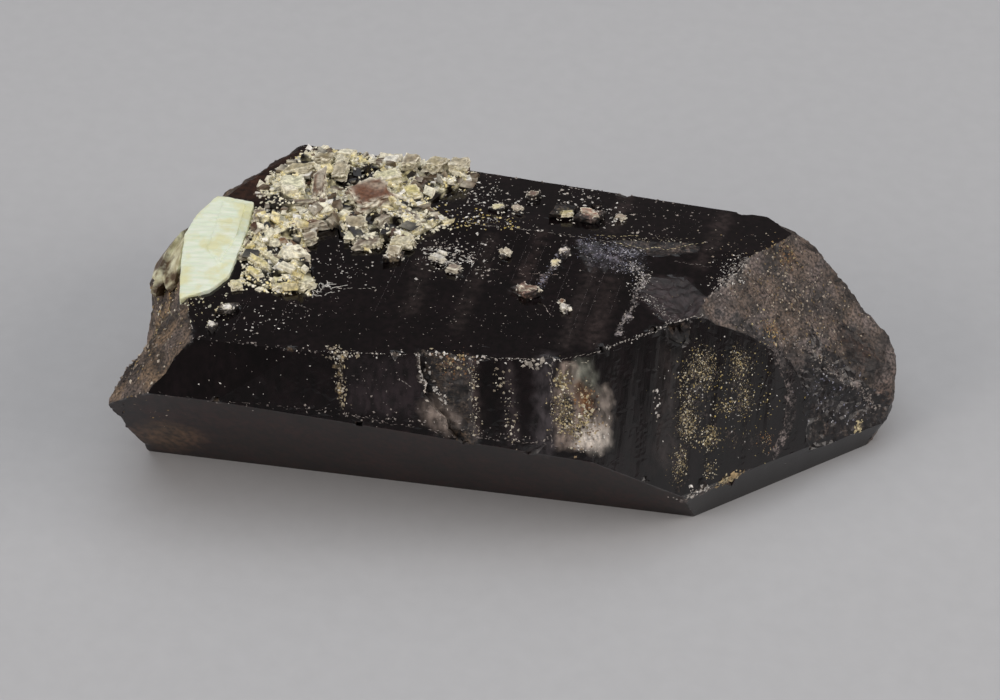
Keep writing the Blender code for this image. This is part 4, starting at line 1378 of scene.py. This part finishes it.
LONE_GRAINS = (
    LoneGrain((-18.0, -2.5), (2.2, 1.7, 0.9), "#A79B82", dusted=14),
    LoneGrain((-17.5, 2.0), (2.0, 1.6, 0.8), "#CFC9A6", dusted=16),
    LoneGrain((-11.5, -1.5), (2.2, 1.1, 0.7), "#E3E0D6", 0.0, 24),
    LoneGrain((-9.0, -3.5), (1.9, 1.5, 0.8), "#8F8073", 0.4, 18),
    LoneGrain((2.0, -7.0), (2.8, 1.2, 0.7), "#86695A", 0.4, 12),
    LoneGrain((-2.5, 1.0), (1.4, 1.2, 0.6), "#BDB29E", 0.0, 14),
    LoneGrain((-1.0, 17.0), (1.5, 1.2, 0.6), "#7C6558", 0.4, 8),
    LoneGrain((-2.5, 12.5), (1.5, 1.0, 0.6), "#A6978A", 0.2, 10),
    LoneGrain((-5.5, 12.5), (1.8, 0.7, 0.5), "#E4DCAE", 0.0, 10),
    LoneGrain((12.5, 13.5), (1.4, 1.1, 0.6), "#9B8B7C", 0.2, 10),
    LoneGrain((4.6, 12.1), (1.8, 1.2, 0.7), "#D8CC92", 0.0, 8),
    LoneGrain((8.0, 12.6), (2.2, 1.2, 0.7), "#9A7766", 0.3, 10),
    LoneGrain((6.0, 3.0), (1.2, 0.9, 0.6), "#E2D9D4", 0.0, 12),
    LoneGrain((5.0, 0.5), (1.1, 0.9, 0.5), "#D7CBA2", 0.0, 10),
    LoneGrain((7.2, -7.9), (0.9, 0.9, 0.5), "#7C5B46", 0.3, 6),
    LoneGrain((8.0, -9.6), (0.8, 1.2, 0.5), "#DEDAD2", 0.0, 10),
    LoneGrain((-38.3, -18.2), (1.3, 1.0, 0.5), "#E6E3DC", 0.0, 12),
    LoneGrain((-39.7, -21.8), (1.2, 0.9, 0.5), "#E6E3DC", 0.0, 10),
)


@dataclass
class Flecks:
    """The small flakes and lone grains that lie on the crystal."""

    crystal: bpy.types.Object
    sink: float = 0.3
    finish: GrainFinish = field(default_factory=GrainFinish)

    def build(self) -> bpy.types.Object:
        """Builds all flakes and grains as one piece.

        Returns:
            The piece.
        """
        chance = np.random.default_rng(31)
        graph = bpy.context.evaluated_depsgraph_get()
        surface = BVHTree.FromObject(self.crystal, graph)
        heap = Heap()
        for strewn in FLECK_FIELDS:
            self.strew(heap, surface, strewn, chance)
        for grain in LONE_GRAINS:
            self.seat(heap, surface, grain, chance)
        for vein in VEINS:
            self.draw(heap, surface, vein, chance)
        piece = heap.make("surface_flecks", self.finish)
        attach(piece, BODY)
        return piece

    def strew(
        self,
        heap: Heap,
        surface: BVHTree,
        strewn: FleckField,
        chance: np.random.Generator,
    ) -> None:
        """Strews one field of flakes over the surface.

        Args:
            heap: Where they go.
            surface: The stone's surface.
            strewn: The field.
            chance: The source of chance.
        """
        path = [Vector(p) for p in strewn.path]
        lengths = [(b - a).length for a, b in zip(path[:-1], path[1:])] or [0.0]
        for _ in range(strewn.count):
            at = chance.uniform(0, sum(lengths))
            spot = path[0].copy()
            for start, end, length in zip(path[:-1], path[1:], lengths):
                if at <= length:
                    spot = start.lerp(end, at / length)
                    break
                at -= length
            spot = spot + Vector(chance.normal(0, strewn.spread, 3))
            hit, normal, _, _ = surface.find_nearest(placed(spot))
            if hit is None:
                continue
            low, high = strewn.sizes
            size = low + (high - low) * chance.random() ** 2.2
            corners = chip(hit, normal, size, 0.5, chance, strewn.long)
            colour = strewn.colours[int(chance.integers(len(strewn.colours)))]
            heap.add(corners, CHIP_FACES, colour, 0.2, chance.uniform(0.7, 1.1))

    def draw(
        self,
        heap: Heap,
        surface: BVHTree,
        vein: Vein,
        chance: np.random.Generator,
    ) -> None:
        """Draws a vein as short thin slivers that follow the surface.

        Args:
            heap: Where they go.
            surface: The stone's surface.
            vein: The vein.
            chance: The source of chance.
        """
        path = [Vector(p) for p in vein.path]
        for start, end in zip(path[:-1], path[1:]):
            length = (end - start).length
            steps = max(int(length / SLIVER), 1)
            for step in range(steps):
                if chance.random() < vein.gaps:
                    continue
                sway = Vector(chance.normal(0, vein.wander, 3))
                spot = start.lerp(end, (step + 0.5) / steps) + sway
                hit, normal, _, _ = surface.find_nearest(placed(spot))
                along = (end - start).normalized()
                along = (along - normal * along.dot(normal)).normalized()
                along = Matrix.Rotation(chance.normal(0, 0.22), 3, normal) @ along
                side = normal.cross(along)
                axes = Matrix((along, side, normal)).transposed()
                width = vein.width * chance.uniform(0.5, 1.3)
                size = (SLIVER * chance.uniform(0.8, 1.4), width, 0.08)
                corners = [hit + axes @ Vector(c) * MM for c in sliver(size)]
                heap.add(corners, CHIP_FACES, vein.colour, 0.1, chance.uniform(0.65, 1.1))

    def seat(
        self,
        heap: Heap,
        surface: BVHTree,
        grain: LoneGrain,
        chance: np.random.Generator,
    ) -> None:
        """Sets one grain on the stone with powder round its rim.

        Args:
            heap: Where it goes.
            surface: The stone's surface.
            grain: The grain.
            chance: The source of chance.
        """
        top = highest([surface], *grain.place)
        if top is None:
            return
        hit = top[0]
        width = max(grain.size[0], grain.size[1])
        turn = Matrix.Rotation(chance.uniform(-0.6, 0.9), 3, "Z")
        for share in (1.0, 0.62):
            size = tuple(s * share * 0.92 for s in grain.size)
            off = Vector((*chance.normal(0, width * 0.24 * (1.5 - share), 2), 0.0))
            lean = Matrix.Rotation(chance.normal(0, 0.14), 3, "X")
            block = worn_block(hit + off * MM, turn @ lean, size, 5, chance)
            shade = chance.uniform(0.85, 1.1)
            heap.add(*block[:2], grain.colour, grain.clear, shade, block[2])
        for _ in range(grain.dusted):
            angle = chance.uniform(0, math.tau)
            reach = width * chance.uniform(0.35, 0.75)
            off = Vector((math.cos(angle) * reach, math.sin(angle) * reach * 0.8, 0))
            spot = Vector((*grain.place, 0.0)) + off
            under = highest([surface], spot.x, spot.y)
            if under is None:
                continue
            corners = chip(*under, chance.uniform(0.15, 0.55), 0.6, chance)
            heap.add(corners, CHIP_FACES, "#E4E0D2", 0.0, chance.uniform(0.7, 1.1))


CRUST_OUTLINE = (
    (-38.6, 19.1), (-36.6, 24.2), (-34.7, 25.0), (-31.5, 24.0), (-26.5, 24.5),
    (-20.9, 25.7), (-18.2, 24.0), (-13.2, 23.9), (-10.8, 21.8), (-11.3, 18.7),
    (-13.7, 17.1), (-15.9, 15.4), (-16.2, 11.2), (-14.3, 7.0), (-11.3, 7.6),
    (-13.9, 5.3), (-15.9, 4.1), (-16.1, 0.8), (-20.4, 0.9), (-23.2, -1.4),
    (-26.0, 0.9), (-27.0, 3.9), (-29.2, 4.0), (-31.0, 3.2), (-31.0, -3.2),
    (-28.4, -9.4), (-28.3, -12.1), (-33.5, -12.5), (-37.9, -11.5), (-39.7, -7.0),
    (-40.1, 1.7), (-40.6, 10.9), (-39.9, 15.8),
)  # fmt: skip


class GrainKind(Enum):
    """The kinds of grain in the crust: colour, share of clearness and how common it is."""

    CREAM = ("#FBF6DC", 0.0, 0.34)
    YELLOW = ("#F2E19A", 0.0, 0.18)
    WHITE = ("#FCFBF4", 0.0, 0.16)
    GREY_BROWN = ("#6C5B48", 0.7, 0.27)
    BROWN = ("#523728", 0.7, 0.1)
    STONE = ("#14100F", 0.7, 0.09)


@dataclass(frozen=True)
class BigGrain:
    """One of the crust's large grains, told apart in the photograph."""

    place: Point
    size: Point
    turn: float
    colour: str
    clear: float = 0.5


BIG_GRAINS = (
    BigGrain((-23.9, 10.2, 32.5), (6.4, 5.6, 1.7), 35, "#75503A", 0.6),
    BigGrain((-32.0, 11.2, 32.4), (6.4, 2.0, 1.3), 100, "#77604F"),
    BigGrain((-30.2, 6.2, 32.3), (4.4, 1.5, 1.1), 103, "#6E5A4E"),
    BigGrain((-33.4, 6.8, 32.2), (3.8, 1.0, 1.0), 12, "#5C4433"),
    BigGrain((-31.9, 1.5, 32.3), (5.0, 1.3, 1.2), 30, "#6B4F3A"),
    BigGrain((-24.8, 3.4, 32.1), (3.2, 2.9, 1.2), 15, "#A3977C", 0.3),
    BigGrain((-24.4, 0.8, 31.9), (2.6, 1.8, 1.0), 0, "#E4DFBE", 0.0),
    BigGrain((-22.2, -0.1, 31.9), (4.0, 1.7, 0.9), 20, "#77695A", 0.4),
    BigGrain((-17.5, 0.7, 31.9), (3.3, 2.4, 1.0), 8, "#C4BC9C", 0.1),
    BigGrain((-20.8, 5.6, 32.1), (3.6, 1.3, 1.1), 55, "#7F7264"),
    BigGrain((-17.6, 6.6, 32.1), (3.9, 1.5, 1.1), -22, "#76695D"),
    BigGrain((-35.8, 10.6, 32.5), (3.6, 4.0, 1.3), 5, "#E9E8C8", 0.0),
    BigGrain((-35.7, 15.0, 32.3), (4.2, 1.6, 1.2), 12, "#B3A98A", 0.2),
    BigGrain((-32.9, 18.5, 32.1), (2.6, 1.8, 1.0), 15, "#8F8364", 0.3),
    BigGrain((-29.9, 16.0, 32.1), (2.2, 3.2, 1.0), 15, "#B5AB91", 0.2),
    BigGrain((-22.6, 15.6, 32.0), (3.8, 2.4, 1.1), 22, "#DDD9B4", 0.0),
    BigGrain((-20.0, 20.2, 32.0), (2.2, 2.2, 1.1), 10, "#9F937B", 0.2),
    BigGrain((-16.2, 20.4, 31.9), (2.8, 2.2, 1.1), 60, "#B0A585", 0.2),
    BigGrain((-12.9, 21.0, 31.8), (2.8, 2.4, 1.0), 10, "#B7AD93", 0.2),
    BigGrain((-18.4, 12.6, 32.0), (2.4, 2.8, 1.0), 30, "#DDD293", 0.0),
    BigGrain((-39.0, 2.8, 32.0), (1.8, 4.0, 1.0), 5, "#8B7A68", 0.4),
    BigGrain((-34.0, -2.6, 32.0), (2.4, 1.3, 1.0), -60, "#7A5A3E"),
    BigGrain((-32.4, -2.8, 32.0), (2.8, 1.4, 1.0), 100, "#80634A"),
    BigGrain((-30.7, -0.6, 31.9), (2.2, 1.7, 0.9), 30, "#8D7F6C", 0.3),
    BigGrain((-30.9, -6.6, 31.9), (3.0, 2.0, 0.9), 35, "#85766B", 0.4),
    BigGrain((-37.0, -2.4, 32.0), (1.6, 3.0, 0.9), -20, "#E2DFC4", 0.0),
    BigGrain((-36.0, 3.0, 31.9), (2.0, 2.4, 0.9), 20, "#DDDABF", 0.0),
    BigGrain((-36.4, -7.4, 31.9), (4.4, 1.1, 0.8), -32, "#DED39C", 0.0),
    BigGrain((-35.2, -6.0, 31.9), (4.8, 0.7, 0.7), -36, "#E0DAB6", 0.0),
    BigGrain((-36.8, -9.6, 31.8), (2.6, 1.2, 0.8), -30, "#DCCF8E", 0.0),
    BigGrain((-32.2, -11.4, 31.9), (2.6, 2.0, 1.0), 10, "#E2DAA6", 0.0),
    BigGrain((-29.2, -10.6, 31.9), (2.4, 2.4, 1.0), 30, "#E5E2C2", 0.0),
    BigGrain((-38.6, -12.6, 31.7), (1.6, 1.6, 0.8), 20, "#DAD3A8", 0.0),
)

DARK_BAYS = (
    ((-27.2, 15.8), 2.6), ((-24.9, 17.2), 1.6), ((-36.6, 17.6), 1.5), ((-38.4, 6.6), 2.1),
    ((-36.2, 6.0), 1.3), ((-37.2, 3.8), 1.2), ((-27.0, -0.6), 3.2), ((-28.4, 2.0), 1.6),
    ((-23.0, 6.0), 1.4), ((-21.2, 3.0), 1.3), ((-19.2, 4.4), 1.1), ((-20.4, 1.6), 1.0),
    ((-34.6, -4.0), 1.3), ((-38.6, -8.6), 1.4), ((-33.8, -8.4), 1.5), ((-35.0, -10.6), 1.2),
    ((-17.0, 15.6), 1.3), ((-15.6, 13.6), 1.3), ((-33.0, 3.9), 0.9), ((-28.0, -6.0), 2.6),
)  # fmt: skip


@dataclass
class Crust:
    """The crust of small feldspar and quartz grains on the top face."""

    crystal: bpy.types.Object
    node: str = "crust"
    small_grains: int = 560
    powder_grains: int = 10400
    bay_reach: float = 1.3
    finish: GrainFinish = field(default_factory=GrainFinish)

    def build(self) -> bpy.types.Object:
        """Builds the crust as one piece.

        Returns:
            The piece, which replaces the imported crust.
        """
        chance = np.random.default_rng(77)
        heap = Heap()
        base = copied(self.node, "crust_base")
        self.dress_base(base)
        graph = bpy.context.evaluated_depsgraph_get()
        ground = [
            BVHTree.FromObject(base, graph),
            BVHTree.FromObject(self.crystal, graph),
        ]
        for grain in BIG_GRAINS:
            self.seat_big(heap, grain, chance)
        outline = np.array(CRUST_OUTLINE)
        self.fill(heap, ground, outline, chance)
        self.lay_threads(heap, ground, chance)
        piece = heap.make("crust_grains", self.finish)
        base.data.materials.clear()
        base.data.materials.append(piece.data.materials[0])
        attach(piece, BODY)
        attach(base, BODY)
        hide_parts(self.node)
        return piece

    def dress_base(self, base: bpy.types.Object) -> None:
        """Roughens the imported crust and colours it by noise.

        Args:
            base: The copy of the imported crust.
        """
        refine(base, 1.5, 0.7)
        mesh = base.data
        points, normals = read_points(mesh), read_normals(mesh)
        lump = np.array([noise.noise(Vector(p) * 1.3) for p in points])
        above = points[:, 2] > TOP_Z - 0.2
        points = points + normals * (0.12 * lump * above)[:, None]
        write_points(mesh, points)
        pale = np.clip(
            np.array([noise.noise(Vector(p) * 0.7) for p in points]) * 3.0 + 0.5, 0, 1
        )
        for (x, y), radius in DARK_BAYS:
            gap = np.hypot(points[:, 0] - x, points[:, 1] - y)
            pale *= np.clip((gap - radius) / (radius * 0.4), 0.0, 1.0)
        cream, dark = np.array(linear("#F2EBC4")), np.array(linear("#17110F"))
        tint = dark + (cream - dark) * pale[:, None]
        write_values(mesh, "tint", tint)
        write_values(mesh, "clear", 1 - pale)

    def seat_big(
        self, heap: Heap, grain: BigGrain, chance: np.random.Generator
    ) -> None:
        """Sets one large grain, with pale crumbs round its rim.

        Args:
            heap: Where it goes.
            grain: The grain.
            chance: The source of chance.
        """
        length, width, height = grain.size
        turn = Matrix.Rotation(math.radians(grain.turn), 3, "Z")
        lean = Matrix.Rotation(chance.normal(0, 0.1), 3, "X")
        cells = 10 if length > 4 else 7
        size = (length, width, height * 1.25)
        block = worn_block(placed(grain.place), turn @ lean, size, cells, chance)
        heap.add(*block[:2], grain.colour, grain.clear, 1.0, block[2])
        for _ in range(int(10 + 1.6 * length * width)):
            angle = chance.uniform(0, math.tau)
            across = (math.cos(angle) * length * 0.5, math.sin(angle) * width * 0.5)
            at = Vector((*across, height * chance.uniform(-0.4, 0.3)))
            spot = placed(Vector(grain.place) + turn @ at)
            size = chance.uniform(0.15, 0.6)
            corners = rhomb(spot, Vector((0, 0, 1)), (size, size, size * 0.6), chance)
            heap.add(corners, BLOCK_FACES, "#E2DCC0", 0.0, chance.uniform(0.7, 1.05))

    def fill(
        self,
        heap: Heap,
        ground: list[BVHTree],
        outline: np.ndarray,
        chance: np.random.Generator,
    ) -> None:
        """Fills the outline with small grains and powder, leaving the dark bays thin.

        Args:
            heap: Where they go.
            ground: The surfaces they may lie on.
            outline: The crust's outline from above.
            chance: The source of chance.
        """
        lo, hi = outline.min(axis=0) - 0.6, outline.max(axis=0) + 0.6
        kinds = list(GrainKind)
        shares = np.array([k.value[2] for k in kinds])
        wanted = self.small_grains + self.powder_grains
        made = tries = 0
        while made < wanted and tries < wanted * 8:
            tries += 1
            x, y = chance.uniform(lo[0], hi[0]), chance.uniform(lo[1], hi[1])
            spot = np.array([[x, y]])
            edge = distance_to_path(spot, np.vstack([outline, outline[:1]]))[0]
            if not inside_outline(spot, outline)[0] and edge > chance.exponential(0.3):
                continue
            gaps = (math.hypot(x - bx, y - by) / r for (bx, by), r in DARK_BAYS)
            bay = min(gaps) / self.bay_reach
            thin = noise.noise(Vector((x, y, 9.0)) * 0.8) < -0.1
            if (bay < 1.0 or thin) and chance.random() > 0.1:
                continue
            top = highest(ground, x, y)
            if top is None:
                continue
            hit, normal = top
            powder = made >= self.small_grains
            size = chance.uniform(0.1, 0.38) if powder else 0.4 + chance.gamma(2.0, 0.28)
            size = min(size, 1.7)
            cloud = noise.noise(Vector((x, y, 3.0)) * 0.3)
            weights = shares * np.array(
                [1 + cloud, 1 + 2.4 * cloud, 1, 1 - cloud, 1 - cloud, 1 - 2 * cloud]
            )
            weights = np.clip(weights, 0.01, None)
            kind = kinds[int(chance.choice(len(kinds), p=weights / weights.sum()))]
            colour, clear, _ = kind.value
            if powder and clear > 0:
                colour, clear = GrainKind.CREAM.value[:2]
            lift = Vector((0, 0, size * 0.12))
            box = (size * chance.uniform(0.9, 1.7), size, size * chance.uniform(0.35, 0.65))
            look = normal.lerp(Vector((0, 0, 1)), 0.5)
            corners = rhomb(hit + lift * MM, look, box, chance, 0.26)
            dust = [float(v) for v in np.clip(chance.normal(0.27 - 0.3 * clear, 0.35, 8), 0, 1)]
            heap.add(corners, BLOCK_FACES, colour, clear, chance.uniform(0.82, 1.12), dust)
            made += 1

    def lay_threads(
        self, heap: Heap, ground: list[BVHTree], chance: np.random.Generator
    ) -> None:
        """Lays thin white fibres on the crust's front edge.

        Args:
            heap: Where they go.
            ground: The surfaces they lie on.
            chance: The source of chance.
        """
        starts = [(-26.2, -10.0), (-26.0, -10.6), (-25.6, -9.8), (-27.4, -12.0)]
        starts += [(-28.4, -11.4), (-24.6, -10.6), (-12.6, 0.6), (-11.4, -0.6)]
        starts += [(-9.8, 0.4), (-10.4, -2.6), (-36.2, -6.8), (-34.0, -7.4), (-7.6, -0.8)]
        for x, y in starts:
            for _ in range(4):
                heading = chance.uniform(0, math.tau)
                at = Vector((x, y, 0)) + Vector((*chance.normal(0, 0.5, 2), 0))
                for _ in range(int(chance.integers(3, 8))):
                    step = Vector((math.cos(heading), math.sin(heading), 0)) * 0.24
                    top = highest(ground, at.x, at.y)
                    if top:
                        self.thread_piece(heap, top[0], step, chance)
                    at += step
                    heading += chance.normal(0, 0.35)

    @staticmethod
    def thread_piece(
        heap: Heap, top: Vector, step: Vector, chance: np.random.Generator
    ) -> None:
        """Adds one short length of fibre.

        Args:
            heap: Where it goes.
            top: The ground under it, in metres.
            step: The way it runs, in millimetres.
            chance: The source of chance.
        """
        side = Vector((-step.y, step.x, 0)).normalized() * chance.uniform(0.012, 0.035)
        rise = Vector((0, 0, 0.05))
        half = step * 0.6
        flat = (-half - side, half - side, half + side, -half + side)
        corners = [top + spot * MM for spot in flat]
        corners += [c + rise * MM for c in corners]
        heap.add(corners, BLOCK_FACES, "#EDEBE4", 0.0, chance.uniform(0.8, 1.1))


@dataclass
class Feldspar:
    """A cleaved feldspar piece set in the root end: the wedge-shaped block or the row of blades."""

    node: str
    name: str
    slot: str
    finish: FeldsparFinish
    fibre: Point
    relief: float = 0.1
    rounding: int = 0
    swell: Point = (1.0, 1.0, 1.0)

    def build(self) -> bpy.types.Object:
        """Builds the piece with fibres raised on its faces.

        Returns:
            The piece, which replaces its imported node.
        """
        piece = copied(self.node, self.name)
        refine(piece, 1.2, 0.4)
        mesh = piece.data
        self.round_off(mesh)
        points, normals = read_points(mesh), read_normals(mesh)
        scale = np.array(self.fibre)
        ridge = np.array([noise.noise(Vector(p * scale)) for p in points])
        knock = np.array([noise.noise(Vector(p) * 0.9) for p in points])
        shift = self.relief * (ridge + 0.5 * knock) - self.relief * 0.6
        middle = (points.min(axis=0) + points.max(axis=0)) / 2
        points = middle + (points - middle) * np.array(self.swell)
        write_points(mesh, points + normals * shift[:, None])
        mesh.materials.clear()
        mesh.materials.append(self.finish.build())
        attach(piece, BODY)
        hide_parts(self.node)
        LOG.info("%s: %d triangles", self.name, len(mesh.polygons))
        return piece

    def round_off(self, mesh: bpy.types.Mesh) -> None:
        """Wears the sharp edges down.

        Args:
            mesh: The fine mesh.
        """
        solid = bmesh.new()
        solid.from_mesh(mesh)
        for _ in range(self.rounding):
            bmesh.ops.smooth_vert(
                solid,
                verts=solid.verts,
                factor=0.5,
                use_axis_x=True,
                use_axis_y=True,
                use_axis_z=True,
            )
        solid.to_mesh(mesh)
        solid.free()


@dataclass
class Studio:
    """The pale sheet, the soft lights and the camera of the photograph."""

    target: Point = (-6.0, 17.0, 0.0)
    distance: float = 430.0
    elevation: float = 40.0
    yaw: float = 10.0
    lens: float = 100.0
    sensor: float = 36.0
    finish: SheetFinish = field(default_factory=SheetFinish)

    def build(self) -> None:
        """Builds the sheet, the lights and the camera."""
        self.lay_sheet()
        self.hang_lights()
        self.set_camera()

    def lay_sheet(self) -> None:
        """Lays the sheet that the crystal rests on."""
        mesh = bpy.data.meshes.new("sheet")
        half = 3.0
        mesh.from_pydata(
            [(-half, -half, 0), (half, -half, 0), (half, half, 0), (-half, half, 0)],
            [],
            [(0, 1, 2, 3)],
        )
        mesh.materials.append(self.finish.build())
        sheet = bpy.data.objects.new("sheet", mesh)
        bpy.context.scene.collection.objects.link(sheet)

    def hang_lights(self) -> None:
        """Hangs a wide soft light overhead and a card at each side, in a dim room."""
        for name, place, size, power in (
            ("soft_box", Vector((-0.05, 0.06, 1.1)), 1.4, 6.9),
            ("left_card", Vector((-0.9, -0.62, 0.52)), 0.8, 6.2),
            ("right_card", Vector((1.0, -0.12, 0.6)), 0.8, 6.4),
        ):
            light = bpy.data.lights.new(name, "AREA")
            light.shape = "SQUARE"
            light.size = size
            light.energy = power
            light.color = linear("#FFF6F0" if "card" in name else "#F6FAFF")[:3]
            holder = bpy.data.objects.new(name, light)
            holder.location = place
            holder.rotation_mode = "QUATERNION"
            holder.rotation_quaternion = place.to_track_quat("Z", "Y")
            bpy.context.scene.collection.objects.link(holder)
        world = bpy.data.worlds.new("room")
        world.use_nodes = True
        background = world.node_tree.nodes["Background"]
        background.inputs[0].default_value = linear("#625D5D")
        background.inputs[1].default_value = 1.0
        bpy.context.scene.world = world
        bpy.context.scene.view_settings.view_transform = "Standard"

    def set_camera(self) -> None:
        """Sets the camera where the photograph was taken from."""
        turn, rise = math.radians(self.yaw), math.radians(self.elevation)
        back = Vector(
            (
                math.sin(turn) * math.cos(rise),
                -math.cos(turn) * math.cos(rise),
                math.sin(rise),
            )
        )
        data = bpy.data.cameras.new("camera")
        data.lens, data.sensor_width = self.lens, self.sensor
        data.clip_start = 0.01
        camera = bpy.data.objects.new("camera", data)
        camera.location = placed(self.target) + back * self.distance * MM
        camera.rotation_mode = "QUATERNION"
        camera.rotation_quaternion = back.to_track_quat("Z", "Y")
        bpy.context.scene.collection.objects.link(camera)
        bpy.context.scene.camera = camera


def main() -> None:
    """Builds every sub-assembly in order."""
    logging.basicConfig(level=logging.INFO, format="%(name)s: %(message)s")
    crystal = Crystal().build()
    Flecks(crystal).build()
    Crust(crystal).build()
    Feldspar(
        "feldspar_block",
        "feldspar_wedge",
        "pale_feldspar",
        FeldsparFinish(
            "mint_feldspar",
            pale="#F8FFEC",
            deep="#E8F6DC",
            stain="#ECEDC0",
            stain_share=0.26,
            fibre_stretch=(0.5, 3.0, 0.5),
        ),
        fibre=(0.2, 1.5, 0.5),
        relief=0.1,
        rounding=5,
        swell=(1.3, 1.07, 1.0),
    ).build()
    Feldspar(
        "feldspar_blades",
        "feldspar_blade_row",
        "cream_feldspar",
        FeldsparFinish(
            "cream_feldspar_blades",
            pale="#ECEBCC",
            deep="#B5AC88",
            stain="#55432E",
            stain_share=0.28,
            fibre_stretch=(1.0, 0.6, 3.0),
        ),
        fibre=(1.2, 0.5, 2.4),
        relief=0.08,
    ).build()
    Studio().build()


if __name__ == "__main__":
    main()
